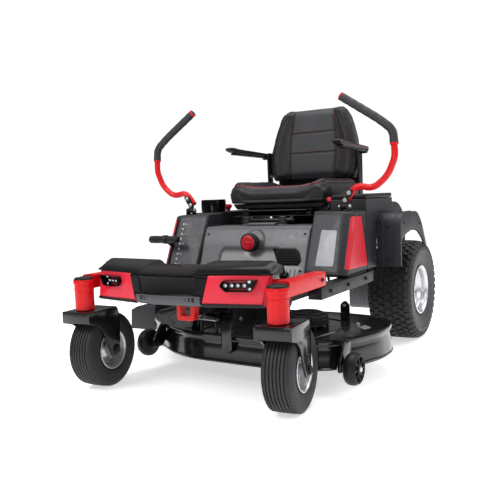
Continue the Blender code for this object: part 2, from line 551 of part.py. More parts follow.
piece("seat_cushion", hull([(s * 0.215, 0.037, 0.660) for s in (-1, 1)] + [(s * 0.240, 0.075, 0.735) for s in (-1, 1)] + [(s * 0.205, 0.040, 0.742) for s in (-1, 1)]
                           + [(s * 0.238, 0.360, 0.745) for s in (-1, 1)] + [(s * 0.215, 0.460, 0.745) for s in (-1, 1)] + [(s * 0.218, 0.460, 0.6565) for s in (-1, 1)] + [(s * 0.2250, 0.424, 0.735) for s in (-1, 1)]
                           + [(s * 0.225, 0.060, 0.6565) for s in (-1, 1)] + [(s * 0.17, 0.060, 0.752) for s in (-1, 1)] + [(s * 0.17, 0.400, 0.752) for s in (-1, 1)]), "vinyl")
piece("seat_back", hull([(s * w, lean(z) + d, z) for s in (-1, 1) for w, z, d in
                         ((0.195, 0.7535, 0.010), (0.205, 0.7535, 0.074), (0.2275, 0.836, 0.020), (0.2275, 0.836, 0.060), (0.205, 0.980, 0.004), (0.205, 0.980, 0.074),
                          (0.185, 0.800, 0.000), (0.165, 1.070, 0.004), (0.150, 1.094, 0.020), (0.150, 1.094, 0.056), (0.165, 1.070, 0.074))]), "vinyl")


def armrest():
    pad = hull([(x, y, z) for x in (0.2395, 0.282) for y, z in ((0.107, 0.890), (0.107, 0.914), (0.150, 0.908), (0.455, 0.896), (0.455, 0.872), (0.150, 0.878))])
    boss = rod(0.016, "X", (0, *ARM_PIVOT), 0.2388, 0.275, 16)
    return join(pad, boss)


for side, flip, s in (("left", lambda b: b, 1), ("right", mirrored, -1)):
    piece("armrest_" + side, flip(armrest()), "vinyl", (s * 0.260, *ARM_PIVOT))

# ---------------------------------------------------------------- controls
piece("fuel_cap", turn([(0, -0.196), (0.031, -0.196), (0.0375, -0.190), (0.0375, -0.164), (0.0262, -0.164), (0.0262, -0.182), (0, -0.182)], "Y", (0, 0, CAP_Z), 20), "gloss_black",
      (0, -0.18, CAP_Z))

grip_y, grip_z = -0.215, 0.520
bar = prism([(HEIGHT_PIVOT[0] + 0.007, HEIGHT_PIVOT[1] - 0.005), (HEIGHT_PIVOT[0] + 0.001, HEIGHT_PIVOT[1] + 0.0085), (grip_y + 0.005, grip_z + 0.006),
             (grip_y - 0.003, grip_z - 0.008), (HEIGHT_PIVOT[0] - 0.008, HEIGHT_PIVOT[1] - 0.0085)], "X", -0.3945, -0.3885)
handle = rod(0.0155, "X", (0, grip_y, grip_z), -0.472, -0.322, 16)
collar = rod(0.0185, "X", (0, grip_y, grip_z), -0.402, -0.380, 16)
piece("height_lever", join(bar, handle, collar), "frame_black", (-0.391, *HEIGHT_PIVOT))

stalk = prism([(PEDAL_PIVOT[0] - 0.010, PEDAL_PIVOT[1]), (PEDAL_PIVOT[0] + 0.008, PEDAL_PIVOT[1] - 0.006), (PEDAL_PIVOT[0] + 0.010, PEDAL_PIVOT[1] + 0.006), (-0.296, 0.496), (-0.310, 0.494)],
              "X", 0.176, 0.190)
pad = moved(prism([(0.186, -0.018), (0.202, -0.034), (0.272, -0.034), (0.286, -0.018), (0.286, 0.018), (0.272, 0.034), (0.202, 0.034), (0.186, 0.018)], "Y", -0.006, 0.006),
            Matrix.Translation((0, -0.306, 0.464)) @ Matrix.Rotation(0.28, 4, "X"))
hub = rod(0.013, "X", (0, *PEDAL_PIVOT), 0.170, 0.200, 16)
piece("lift_pedal", join(stalk, pad, hub), "frame_black", (0.183, *PEDAL_PIVOT))

piece("throttle_lever", join(rod(0.009, "X", (0, -0.075, 0.634), 0.300, 0.308, 12), prism([(-0.0775, 0.634), (-0.0725, 0.634), (-0.0725, 0.662), (-0.0775, 0.662)], "X", 0.302, 0.306),
                             rod(0.008, "Z", (0.304, -0.075, 0), 0.656, 0.674, 12)), "frame_black", (0.304, -0.075, 0.634))
piece("blade_knob", turn([(0, 0.6225), (0.010, 0.6225), (0.010, 0.632), (0.018, 0.640), (0.018, 0.652), (0.013, 0.656), (0, 0.656)], "Z", (-0.350, 0.230, 0), 20), "panel_red")
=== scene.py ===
"""Looks of the zero turn mower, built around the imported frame. Metres, +Z up, front of the machine towards -Y.
Pieces are written about the machine's own centre plane and moved into the frame by SHIFT."""
import math

import bmesh
import bpy
import numpy as np
from mathutils import Matrix, Vector
from mathutils.bvhtree import BVHTree


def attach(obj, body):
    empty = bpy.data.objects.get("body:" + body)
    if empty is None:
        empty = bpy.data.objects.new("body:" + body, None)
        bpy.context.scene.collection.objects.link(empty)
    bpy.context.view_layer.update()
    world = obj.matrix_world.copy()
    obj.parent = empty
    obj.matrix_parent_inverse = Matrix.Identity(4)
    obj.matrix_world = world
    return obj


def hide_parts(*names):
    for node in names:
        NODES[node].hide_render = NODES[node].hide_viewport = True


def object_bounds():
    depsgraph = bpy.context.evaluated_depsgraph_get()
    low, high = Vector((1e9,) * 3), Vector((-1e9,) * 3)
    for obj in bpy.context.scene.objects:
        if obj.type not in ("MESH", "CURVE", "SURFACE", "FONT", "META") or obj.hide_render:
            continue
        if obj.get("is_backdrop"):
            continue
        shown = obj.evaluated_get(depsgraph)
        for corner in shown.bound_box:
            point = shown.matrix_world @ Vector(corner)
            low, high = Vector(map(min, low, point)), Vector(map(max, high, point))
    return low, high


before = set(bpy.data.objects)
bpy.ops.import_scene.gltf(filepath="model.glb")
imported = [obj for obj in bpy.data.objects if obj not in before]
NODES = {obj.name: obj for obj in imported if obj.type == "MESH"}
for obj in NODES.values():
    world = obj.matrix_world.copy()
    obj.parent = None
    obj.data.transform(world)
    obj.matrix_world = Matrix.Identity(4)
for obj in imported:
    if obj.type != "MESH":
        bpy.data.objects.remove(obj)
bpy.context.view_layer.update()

SHIFT = Vector((0.0676, -0.1572, 0.0))
SIDES = (("left", 1), ("right", -1))


# ------------------------------------------------------------------ materials
def material(name, base, rough, metallic=0.0, coat=0.0, vary=0.10, vary_scale=9.0, grain=0.0, grain_scale=900.0, cells=False,
             rough_vary=0.06, sheen=0.0, edge=None, edge_amount=0.16, dust=0.0, emit=0.0, ior=1.5, stretch=(1, 1, 1), wave=0.0, wave_scale=40.0, specular=0.5, coat_rough=0.06):
    m = bpy.data.materials.new(name)
    m.use_nodes = True
    nt = m.node_tree
    N, L = nt.nodes, nt.links
    b = N["Principled BSDF"]
    co = N.new("ShaderNodeTexCoord")
    mp = N.new("ShaderNodeMapping")
    mp.inputs["Scale"].default_value = stretch
    L.new(co.outputs["Object"], mp.inputs["Vector"])
    here = mp.outputs["Vector"]

    def noise(scale, detail=3.0, rough_=0.55):
        n = N.new("ShaderNodeTexNoise")
        n.inputs["Scale"].default_value = scale
        n.inputs["Detail"].default_value = detail
        n.inputs["Roughness"].default_value = rough_
        L.new(here, n.inputs["Vector"])
        return n.outputs["Fac"]

    def ramp(src, lo, hi, a, z):
        r = N.new("ShaderNodeMapRange")
        r.inputs["From Min"].default_value, r.inputs["From Max"].default_value = lo, hi
        r.inputs["To Min"].default_value, r.inputs["To Max"].default_value = a, z
        L.new(src, r.inputs["Value"])
        return r.outputs["Result"]

    def mix(fac, a, z):
        x = N.new("ShaderNodeMix")
        x.data_type = "RGBA"
        for sock, v in ((x.inputs[6], a), (x.inputs[7], z)):
            if isinstance(v, tuple):
                sock.default_value = (*v, 1.0)
            else:
                L.new(v, sock)
        if isinstance(fac, float):
            x.inputs[0].default_value = fac
        else:
            L.new(fac, x.inputs[0])
        return x.outputs[2]

    low = tuple(c * (1 - vary) for c in base)
    high = tuple(min(1.0, c * (1 + vary)) for c in base)
    colour = mix(ramp(noise(vary_scale, 4.0), 0.3, 0.7, 0.0, 1.0), low, high)
    if grain:
        colour = mix(ramp(noise(grain_scale * 0.35, 2.0), 0.35, 0.7, 0.0, min(0.30, grain)), colour, tuple(c * 0.72 for c in base))
    if edge:
        geo = N.new("ShaderNodeNewGeometry")
        worn = ramp(geo.outputs["Pointiness"], 0.56, 0.70, 0.0, edge_amount)
        mul = N.new("ShaderNodeMath")
        mul.operation = "MULTIPLY"
        L.new(worn, mul.inputs[0])
        L.new(ramp(noise(60.0), 0.4, 0.65, 0.0, 1.0), mul.inputs[1])
        colour = mix(mul.outputs[0], colour, edge)
    if dust:
        geo2 = N.new("ShaderNodeNewGeometry")
        sep = N.new("ShaderNodeSeparateXYZ")
        L.new(geo2.outputs["Normal"], sep.inputs[0])
        up = ramp(sep.outputs["Z"], 0.2, 1.0, 0.0, dust)
        mul2 = N.new("ShaderNodeMath")
        mul2.operation = "MULTIPLY"
        L.new(up, mul2.inputs[0])
        L.new(ramp(noise(14.0, 5.0), 0.35, 0.75, 0.0, 1.0), mul2.inputs[1])
        colour = mix(mul2.outputs[0], colour, (0.30, 0.28, 0.25))
    L.new(colour, b.inputs["Base Color"])
    L.new(ramp(noise(vary_scale * 5, 5.0), 0.3, 0.7, max(0.02, rough - rough_vary), min(1.0, rough + rough_vary)), b.inputs["Roughness"])
    b.inputs["Metallic"].default_value = metallic
    b.inputs["IOR"].default_value = ior
    b.inputs["Specular IOR Level"].default_value = specular
    b.inputs["Coat Weight"].default_value = coat
    b.inputs["Coat Roughness"].default_value = coat_rough
    b.inputs["Sheen Weight"].default_value = sheen
    b.inputs["Sheen Roughness"].default_value = 0.5
    if emit:
        b.inputs["Emission Color"].default_value = (1, 1, 1, 1)
        b.inputs["Emission Strength"].default_value = emit
    if grain or wave:
        if cells:
            v = N.new("ShaderNodeTexVoronoi")
            v.feature = "DISTANCE_TO_EDGE"
            v.inputs["Scale"].default_value = grain_scale
            L.new(here, v.inputs["Vector"])
            height = ramp(v.outputs["Distance"], 0.0, 0.35, 0.0, 1.0)
        elif wave:
            w = N.new("ShaderNodeTexWave")
            w.inputs["Scale"].default_value = wave_scale
            w.inputs["Distortion"].default_value = 1.5
            L.new(here, w.inputs["Vector"])
            height = w.outputs["Fac"]
        else:
            height = noise(grain_scale, 2.0)
        bump = N.new("ShaderNodeBump")
        bump.inputs["Strength"].default_value = max(grain, wave)
        bump.inputs["Distance"].default_value = 0.0006
        L.new(height, bump.inputs["Height"])
        L.new(bump.outputs["Normal"], b.inputs["Normal"])
    return m


M = {
    "red": material("paint_red", (0.560, 0.0035, 0.0060), 0.36, coat=0.08, grain=0.02, grain_scale=700, vary=0.04, specular=0.22),
    "panel_red": material("moulded_red", (0.600, 0.0130, 0.0340), 0.40, coat=0.04, grain=0.18, grain_scale=700, vary=0.04, specular=0.35),
    "black": material("powder_black", (0.0050, 0.0050, 0.0058), 0.38, grain=0.22, grain_scale=800, coat=0.03, edge=(0.03, 0.03, 0.035), edge_amount=0.1, specular=0.20),
    "gloss": material("gloss_black", (0.0022, 0.0022, 0.0028), 0.20, coat=0.08, grain=0.02, grain_scale=120, rough_vary=0.03, specular=0.10),
    "deck": material("deck_paint", (0.0040, 0.0040, 0.0047), 0.21, coat=0.40, grain=0.08, grain_scale=240, dust=0.01, edge=(0.03, 0.03, 0.035), edge_amount=0.1, rough_vary=0.05, specular=0.3),
    "charcoal": material("charcoal_plastic", (0.0165, 0.0168, 0.0210), 0.46, grain=0.40, grain_scale=620, vary=0.10, edge=(0.06, 0.06, 0.07), rough_vary=0.07, specular=0.30),
    # painted light: a lighter copy of charcoal_plastic, used only on the consoles' front faces to stand in for the
    # light falling on them
    "charcoal_front": material("charcoal_painted_light_face", (0.0265, 0.0270, 0.0320), 0.44, grain=0.35, grain_scale=620, vary=0.10, edge=(0.10, 0.10, 0.11), specular=0.4),
    "band": material("grey_band", (0.062, 0.062, 0.072), 0.42, grain=0.25, grain_scale=620, vary=0.08, edge=(0.10, 0.10, 0.11), specular=0.4),
    "grey": material("grey_plastic", (0.082, 0.082, 0.089), 0.40, metallic=0.15, grain=0.30, grain_scale=700, vary=0.08, edge=(0.18, 0.18, 0.19)),
    "grey_light": material("grey_inlay", (0.150, 0.150, 0.158), 0.38, metallic=0.2, grain=0.30, grain_scale=700, vary=0.08, edge=(0.25, 0.25, 0.26)),
    "trim": material("black_trim", (0.0045, 0.0045, 0.0054), 0.44, grain=0.35, grain_scale=560, edge=(0.03, 0.03, 0.035), specular=0.25),
    "tyre": material("tyre_rubber", (0.0130, 0.0130, 0.0140), 0.60, grain=0.55, grain_scale=420, vary=0.16, dust=0.03, edge=(0.045, 0.045, 0.047), edge_amount=0.3, specular=0.4),
    "tyre_wall": material("tyre_sidewall", (0.0175, 0.0175, 0.0190), 0.50, grain=0.35, grain_scale=260, vary=0.14, specular=0.4),
    "rim": material("rim_silver", (0.58, 0.59, 0.61), 0.32, metallic=0.85, grain=0.12, grain_scale=1400, vary=0.05, coat=0.3, edge=(0.8, 0.8, 0.82)),
    "zinc": material("zinc_bolt", (0.50, 0.51, 0.53), 0.32, metallic=1.0, grain=0.20, grain_scale=1500, vary=0.10),
    "dark_bolt": material("black_bolt", (0.025, 0.025, 0.028), 0.38, metallic=0.8, grain=0.2, grain_scale=1500),
    "steel": material("blade_steel", (0.36, 0.36, 0.37), 0.34, metallic=1.0, wave=0.25, wave_scale=160, vary=0.15),
    # pale grey finish for two flat bars on the deck top
    "strap": material("pale_bar_finish", (0.42, 0.42, 0.45), 0.40, metallic=0.35, grain=0.25, grain_scale=900, vary=0.10),
    "alloy": material("cast_alloy", (0.30, 0.30, 0.315), 0.46, metallic=0.8, grain=0.6, grain_scale=500, vary=0.14),
    "vinyl": material("seat_vinyl", (0.0095, 0.0095, 0.0118), 0.42, grain=0.55, grain_scale=330, cells=True, vary=0.12, rough_vary=0.07, coat=0.03, specular=0.25),
    "vinyl_mid": material("seat_centre_vinyl", (0.0230, 0.0230, 0.0265), 0.46, grain=0.65, grain_scale=230, cells=True, vary=0.14, rough_vary=0.08, sheen=0.04, specular=0.32),
    "thread": material("red_thread", (0.30, 0.018, 0.025), 0.60, grain=0.5, grain_scale=1500, vary=0.2, sheen=0.2),
    "foam": material("grip_foam", (0.018, 0.018, 0.021), 0.50, grain=0.35, grain_scale=700, cells=True, vary=0.08, specular=0.4),
    "lens": material("lamp_lens", (0.80, 0.84, 0.90), 0.10, coat=1.0, emit=0.35, vary=0.03),
    "chrome": material("lamp_reflector", (0.34, 0.35, 0.37), 0.22, metallic=1.0, vary=0.05, grain=0.1, grain_scale=300),
    "label": material("blank_label", (0.25, 0.25, 0.27), 0.36, grain=0.15, grain_scale=900, stretch=(1, 1, 0.15), vary=0.14, vary_scale=18),
    "badge": material("red_badge", (0.500, 0.0055, 0.0180), 0.36, coat=0.08, grain=0.1, grain_scale=500, vary=0.06, specular=0.4),
    "white": material("white_mark", (0.34, 0.345, 0.36), 0.40, vary=0.06, grain=0.1, grain_scale=700),
    "rubber": material("rubber_mat", (0.0105, 0.0105, 0.0115), 0.72, grain=0.5, grain_scale=600, vary=0.15),
    "spring": material("spring_steel", (0.055, 0.055, 0.060), 0.36, metallic=0.9, grain=0.2, grain_scale=900),
    "copper": material("hot_steel", (0.20, 0.17, 0.15), 0.42, metallic=0.9, grain=0.4, grain_scale=400, vary=0.25),
}


# ------------------------------------------------------------------ shape tools
def clean(bm, dist=1e-6):
    bmesh.ops.remove_doubles(bm, verts=bm.verts, dist=dist)
    bmesh.ops.recalc_face_normals(bm, faces=bm.faces)
    return bm


def rounded(points, r, steps=4, closed=True):
    """Round the corners of a 2-D or 3-D line."""
    pts = [Vector(p) for p in points]
    n = len(pts)
    out = []
    for i, here in enumerate(pts):
        if not closed and i in (0, n - 1):
            out.append(here)
            continue
        a, b = pts[i - 1] - here, pts[(i + 1) % n] - here
        rr = r[i] if isinstance(r, (list, tuple)) else r
        d = min(rr, a.length * 0.48, b.length * 0.48)
        if d <= 0:
            out.append(here)
            continue
        p, q = here + a.normalized() * d, here + b.normalized() * d
        for k in range(steps + 1):
            t = k / steps
            out.append(p * (1 - t) ** 2 + here * 2 * t * (1 - t) + q * t * t)
    return out


def prism(outline, axis, low, high, bevel=0.0, seg=3):
    bm = bmesh.new()
    k = "XYZ".index(axis)
    a, b = [i for i in range(3) if i != k]

    def put(p, h):
        q = [0.0, 0.0, 0.0]
        q[a], q[b], q[k] = p[0], p[1], h
        return q

    lower = [bm.verts.new(put(p, low)) for p in outline]
    upper = [bm.verts.new(put(p, high)) for p in outline]
    n = len(outline)
    bm.faces.new(lower)
    bm.faces.new(upper)
    for i in range(n):
        bm.faces.new((lower[i], lower[(i + 1) % n], upper[(i + 1) % n], upper[i]))
    clean(bm)
    if bevel:
        sharp = [e for e in bm.edges if len(e.link_faces) == 2 and e.calc_face_angle(0) > math.radians(28)]
        bmesh.ops.bevel(bm, geom=sharp, offset=bevel, segments=seg, profile=0.5, affect="EDGES", clamp_overlap=True)
    return clean(bm)


def box(low, high, bevel=0.0, seg=3):
    return prism([(low[0], low[1]), (high[0], low[1]), (high[0], high[1]), (low[0], high[1])], "Z", low[2], high[2], bevel, seg)


def hull(points, bevel=0.0, seg=3, flat=1.5):
    bm = bmesh.new()
    for p in points:
        bm.verts.new(p)
    out = bmesh.ops.convex_hull(bm, input=bm.verts[:])
    loose = [g for g in out["geom_interior"] + out["geom_unused"] if isinstance(g, bmesh.types.BMVert)]
    bmesh.ops.delete(bm, geom=list(set(loose)), context="VERTS")
    clean(bm)
    if bevel:
        bmesh.ops.dissolve_limit(bm, angle_limit=math.radians(flat), verts=bm.verts, edges=bm.edges)
        sharp = [e for e in bm.edges if len(e.link_faces) == 2 and e.calc_face_angle(0) > math.radians(8)]
        bmesh.ops.bevel(bm, geom=sharp, offset=bevel, segments=seg, profile=0.5, affect="EDGES", clamp_overlap=True)
    return clean(bm)


def turn(profile, axis, centre, seg=72, phase=0.0):
    bm = bmesh.new()
    k = "XYZ".index(axis)
    a, b = [(1, 2), (2, 0), (0, 1)][k]
    rings = []
    for r, h in profile:
        row = []
        for i in range(seg if r > 1e-9 else 1):
            t = 2 * math.pi * i / seg + phase
            q = [0.0, 0.0, 0.0]
            q[a], q[b], q[k] = r * math.cos(t), r * math.sin(t), h
            row.append(bm.verts.new(Vector(q) + Vector(centre)))
        rings.append(row)
    solid = profile[0][0] <= 1e-9
    for lo, hi in list(zip(rings, rings[1:])) + ([] if solid else [(rings[-1], rings[0])]):
        for i in range(seg):
            j = (i + 1) % seg
            seen = []
            for v in (lo[i % len(lo)], lo[j % len(lo)], hi[j % len(hi)], hi[i % len(hi)]):
                if v not in seen:
                    seen.append(v)
            if len(seen) > 2:
                bm.faces.new(seen)
    return clean(bm)


def rod(r, axis, centre, low, high, seg=40, ease=0.0):
    e = ease
    prof = [(0, low), (r - e, low), (r - 0.3 * e, low + 0.3 * e), (r, low + e), (r, high - e), (r - 0.3 * e, high - 0.3 * e), (r - e, high), (0, high)] if e else [(0, low), (r, low), (r, high), (0, high)]
    return turn(prof, axis, centre, seg)


def tube(path, radius, seg=20, cap=0.0):
    """A round bar along a path; radius may be a list. cap rounds its ends."""
    pts = [Vector(p) for p in path]
    rad = list(radius) if isinstance(radius, (list, tuple)) else [radius] * len(pts)
    if cap:
        t0, t1 = (pts[1] - pts[0]).normalized(), (pts[-1] - pts[-2]).normalized()
        pre = [(pts[0] + t0 * cap * (1 - math.cos(a)), rad[0] - cap * (1 - math.sin(a))) for a in (0.0, 0.5, 1.0)]
        post = [(pts[-1] - t1 * cap * (1 - math.cos(a)), rad[-1] - cap * (1 - math.sin(a))) for a in (1.0, 0.5, 0.0)]
        pts = [p for p, _ in pre] + [pts[0] + t0 * cap] + pts[1:-1] + [pts[-1] - t1 * cap] + [p for p, _ in post]
        rad = [r for _, r in pre] + [rad[0]] + rad[1:-1] + [rad[-1]] + [r for _, r in post]
    bm = bmesh.new()
    tangent = [(pts[min(i + 1, len(pts) - 1)] - pts[max(i - 1, 0)]).normalized() for i in range(len(pts))]
    side = tangent[0].orthogonal().normalized()
    rings = []
    for p, t, r in zip(pts, tangent, rad):
        side = (side - t * side.dot(t)).normalized()
        other = t.cross(side)
        rings.append([bm.verts.new(p + (side * math.cos(2 * math.pi * i / seg) + other * math.sin(2 * math.pi * i / seg)) * max(r, 1e-4)) for i in range(seg)])
    for lo, hi in zip(rings, rings[1:]):
        for i in range(seg):
            j = (i + 1) % seg
            bm.faces.new((lo[i], lo[j], hi[j], hi[i]))
    bm.faces.new(rings[0][::-1])
    bm.faces.new(rings[-1])
    bmesh.ops.recalc_face_normals(bm, faces=bm.faces)
    return bm


def loft(rings, cap=True):
    """Closed skin through rings of the same number of points."""
    bm = bmesh.new()
    rows = [[bm.verts.new(p) for p in ring] for ring in rings]
    n = len(rows[0])
    for lo, hi in zip(rows, rows[1:]):
        for i in range(n):
            j = (i + 1) % n
            bm.faces.new((lo[i], lo[j], hi[j], hi[i]))
    if cap:
        bm.faces.new(rows[0][::-1])
        bm.faces.new(rows[-1])
    bmesh.ops.recalc_face_normals(bm, faces=bm.faces)
    return bm


def bolt(centre, axis, r=0.006, h=0.005, washer=True, sign=1, dome=False):
    """Hex or button head standing on a face at centre, pointing along sign*axis."""
    k = "XYZ".index(axis)
    out = []
    c = Vector(centre)
    base = c[k]
    c[k] = 0
    if washer:
        out.append(turn([(0, base - sign * 0.0005), (r * 1.45, base - sign * 0.0005), (r * 1.5, base + sign * 0.0006), (r * 1.42, base + sign * 0.0012), (0, base + sign * 0.0012)], axis, c, 28))
        base += sign * 0.0011
    if dome:
        out.append(turn([(0, base), (r, base), (r * 0.96, base + sign * h * 0.4), (r * 0.75, base + sign * h * 0.8), (r * 0.4, base + sign * h), (r * 0.36, base + sign * h * 0.6), (0, base + sign * h * 0.6)], axis, c, 24))
    else:
        out.append(turn([(0, base), (r, base), (r, base + sign * h * 0.8), (r * 0.88, base + sign * h), (0, base + sign * h)], axis, c, 6))
    return merge(*out)


def merge(*parts):
    """Put shapes in one mesh, each as its own shell."""
    out = bmesh.new()
    for p in parts:
        me = bpy.data.meshes.new("work")
        bmesh.ops.recalc_face_normals(p, faces=p.faces)
        p.to_mesh(me)
        out.from_mesh(me)
        p.free()
        bpy.data.meshes.remove(me)
    return out


def as_object(bm, name="work"):
    mesh = bpy.data.meshes.new(name)
    bm.to_mesh(mesh)
    bm.free()
    ob = bpy.data.objects.new(name, mesh)
    bpy.context.scene.collection.objects.link(ob)
    return ob


def combine(base, others, operation):
    for other in others:
        a, b = as_object(base), as_object(other)
        mod = a.modifiers.new("join", "BOOLEAN")
        mod.operation, mod.solver, mod.object = operation, "EXACT", b
        bpy.context.view_layer.update()
        got = bpy.data.meshes.new_from_object(a.evaluated_get(bpy.context.evaluated_depsgraph_get()))
        base = bmesh.new()
        base.from_mesh(got)
        for ob in (a, b):
            mesh = ob.data
            bpy.data.objects.remove(ob, do_unlink=True)
            bpy.data.meshes.remove(mesh)
        bpy.data.meshes.remove(got)
        bmesh.ops.remove_doubles(base, verts=base.verts, dist=2e-6)
        bmesh.ops.dissolve_degenerate(base, edges=base.edges, dist=2e-6)
    return base


def join(*shapes):
    return combine(shapes[0], shapes[1:], "UNION")


def cut(base, *cutters):
    return combine(base, cutters, "DIFFERENCE")


def moved(bm, matrix):
    bmesh.ops.transform(bm, matrix=matrix, verts=bm.verts)
    return bm


def mirrored(bm):
    bmesh.ops.scale(bm, vec=(-1, 1, 1), verts=bm.verts)
    bmesh.ops.recalc_face_normals(bm, faces=bm.faces)
    return bm


def P(name, bm, body, mats, slot, nodes=(), angle=32, sub=0, fix=True):
    """Make a finished piece from layout coordinates, riding on a body."""
    if fix:
        bmesh.ops.recalc_face_normals(bm, faces=bm.faces)
    bmesh.ops.translate(bm, vec=SHIFT, verts=bm.verts)
    me = bpy.data.meshes.new(name)
    bm.to_mesh(me)
    bm.free()
    me.shade_smooth()
    me.set_sharp_from_angle(angle=math.radians(angle))
    for m in (mats if isinstance(mats, (list, tuple)) else [mats]):
        me.materials.append(M[m])
    ob = bpy.data.objects.new(name, me)
    bpy.context.scene.collection.objects.link(ob)
    if sub:
        mod = ob.modifiers.new("sub", "SUBSURF")
        mod.levels = mod.render_levels = sub
    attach(ob, body)
    if nodes:
        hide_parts(*nodes)
    return ob


def both(name, make, body, mats, slot, nodes=(), **kw):
    """The same piece on both sides. {} in a name stands for the side."""
    return [P(name.format(s), make() if k > 0 else mirrored(make()), body.format(s), mats, slot, [n.format(s) for n in nodes], **kw) for s, k in SIDES]


def refine(node, mat, bevel=0.0015, seg=3, slot=None):
    """Carry a CAD node over with eased edges and a finished material."""
    ob = NODES[node]
    for i in range(max(1, len(ob.material_slots))):
        if not ob.material_slots:
            ob.data.materials.append(M[mat])
        else:
            ob.material_slots[i].material = M[mat]
    weld = ob.modifiers.new("weld", "WELD")
    weld.merge_threshold = 0.00001
    mod = ob.modifiers.new("ease", "BEVEL")
    mod.width, mod.segments, mod.limit_method, mod.angle_limit = bevel, seg, "ANGLE", math.radians(32)
    mod.harden_normals = False
    mod.use_clamp_overlap = True
    ob.data.shade_smooth()
    return ob


def at_y(plan, x):
    """Linear reading of a table of (x, value)."""
    if x <= plan[0][0]:
        return plan[0][1]
    for (a, p), (b, q) in zip(plan, plan[1:]):
        if x <= b:
            return p + (q - p) * (x - a) / (b - a)
    return plan[-1][1]


def smooth(a, b, x):
    t = max(0.0, min(1.0, (x - a) / (b - a)))
    return t * t * (3 - 2 * t)


# ------------------------------------------------------------------ camera, light and floor
cam_data = bpy.data.cameras.new("camera")
cam = bpy.data.objects.new("camera", cam_data)
bpy.context.scene.collection.objects.link(cam)
forward = Vector((-0.50454, 0.85956, -0.08120)).normalized()
right_flat = Vector((math.cos(math.radians(30.412)), math.sin(math.radians(30.412)), 0.0))
up_flat = right_flat.cross(forward)
roll = math.radians(-2.192)
cam_r = right_flat * math.cos(roll) + up_flat * math.sin(roll)
cam_u = up_flat * math.cos(roll) - right_flat * math.sin(roll)
spot = Vector((1.40668, -2.61488, 0.69057))
cam.matrix_world = Matrix(((cam_r.x, cam_u.x, -forward.x, spot.x), (cam_r.y, cam_u.y, -forward.y, spot.y), (cam_r.z, cam_u.z, -forward.z, spot.z), (0, 0, 0, 1)))
cam_data.lens, cam_data.sensor_width = 47.795, 36.0
cam_data.clip_start, cam_data.clip_end = 0.05, 100.0
bpy.context.scene.camera = cam

floor_bm = bmesh.new()
bmesh.ops.create_grid(floor_bm, x_segments=1, y_segments=1, size=30.0)
floor = as_object(floor_bm, "studio_floor")
floor_mat = bpy.data.materials.new("studio_white")
floor_mat.use_nodes = True
floor_mat.node_tree.nodes["Principled BSDF"].inputs["Base Color"].default_value = (0.84, 0.84, 0.845, 1)
floor_mat.node_tree.nodes["Principled BSDF"].inputs["Roughness"].default_value = 0.75
floor_mat.node_tree.nodes["Principled BSDF"].inputs["Specular IOR Level"].default_value = 0.15
floor_mat.node_tree.nodes["Principled BSDF"].inputs["Emission Color"].default_value = (1.0, 1.0, 1.0, 1)
floor_mat.node_tree.nodes["Principled BSDF"].inputs["Emission Strength"].default_value = 0.56
floor.data.materials.append(floor_mat)
floor.location.z = -0.0005
floor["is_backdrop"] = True

world = bpy.data.worlds.new("studio")
bpy.context.scene.world = world
world.use_nodes = True
wn, wl = world.node_tree.nodes, world.node_tree.links
sky = wn["Background"]
place = wn.new("ShaderNodeTexCoord")
split = wn.new("ShaderNodeSeparateXYZ")
wl.new(place.outputs["Generated"], split.inputs[0])
rise = wn.new("ShaderNodeMapRange")
rise.interpolation_type = "SMOOTHSTEP"
for key, v in (("From Min", 0.05), ("From Max", 0.95), ("To Min", 0.10), ("To Max", 0.80)):
    rise.inputs[key].default_value = v
wl.new(split.outputs["Z"], rise.inputs["Value"])
sky.inputs["Color"].default_value = (1.0, 1.0, 1.0, 1)
wl.new(rise.outputs["Result"], sky.inputs["Strength"])
plain = wn.new("ShaderNodeBackground")
plain.inputs["Color"].default_value = (1.0, 1.0, 1.0, 1)
plain.inputs["Strength"].default_value = 1.05
seen = wn.new("ShaderNodeLightPath")
either = wn.new("ShaderNodeMixShader")
wl.new(seen.outputs["Is Camera Ray"], either.inputs["Fac"])
wl.new(sky.outputs[0], either.inputs[1])
wl.new(plain.outputs[0], either.inputs[2])
wl.new(either.outputs[0], wn["World Output"].inputs["Surface"])
bpy.context.scene.view_settings.view_transform = "Standard"


def lamp(name, at, look, size, power, size_y=None):
    data = bpy.data.lights.new(name, "AREA")
    data.shape = "RECTANGLE"
    data.size, data.size_y = size, size_y or size
    data.energy = power
    ob = bpy.data.objects.new(name, data)
    bpy.context.scene.collection.objects.link(ob)
    ob.location = at
    ob.rotation_mode = "QUATERNION"
    ob.rotation_quaternion = (Vector(look) - Vector(at)).to_track_quat("-Z", "Y")


lamp("key", (-1.5, -3.3, 3.2), (0, -0.2, 0.4), 1.8, 95)
lamp("fill", (3.6, -1.0, 2.2), (0, 0, 0.4), 1.6, 28)
lamp("top", (0.2, 0.1, 3.8), (0, 0, 0.4), 2.4, 85)
lamp("rim", (2.9, 2.3, 2.3), (0, 0.2, 0.5), 1.4, 45)
lamp("low_front", (1.0, -4.2, 0.9), (0.1, -0.4, 0.3), 1.2, 16, 0.5)

# ------------------------------------------------------------------ chassis
CX, CY = 0.398, -0.699


def barrel_skin():
    body = turn([(0.0150, 0.302), (0.0335, 0.302), (0.0345, 0.303), (0.0345, 0.3945), (0.0372, 0.3965), (0.0375, 0.3985), (0.0375, 0.4105), (0.0368, 0.4118), (0.0150, 0.4118)], "Z", (CX, CY, 0), 72)
    weld = turn([(0.0340, 0.3740), (0.0362, 0.3752), (0.0366, 0.3770), (0.0340, 0.3790)], "Z", (CX, CY, 0), 60)
    return merge(body, weld)


def barrel_cap():
    return turn([(0, 0.4228), (0.0110, 0.4228), (0.0138, 0.4222), (0.0150, 0.4206), (0.0162, 0.4198), (0.0185, 0.4202), (0.0300, 0.4196), (0.0332, 0.4176), (0.0346, 0.4140), (0.0350, 0.4119), (0, 0.4119)], "Z", (CX, CY, 0), 72)


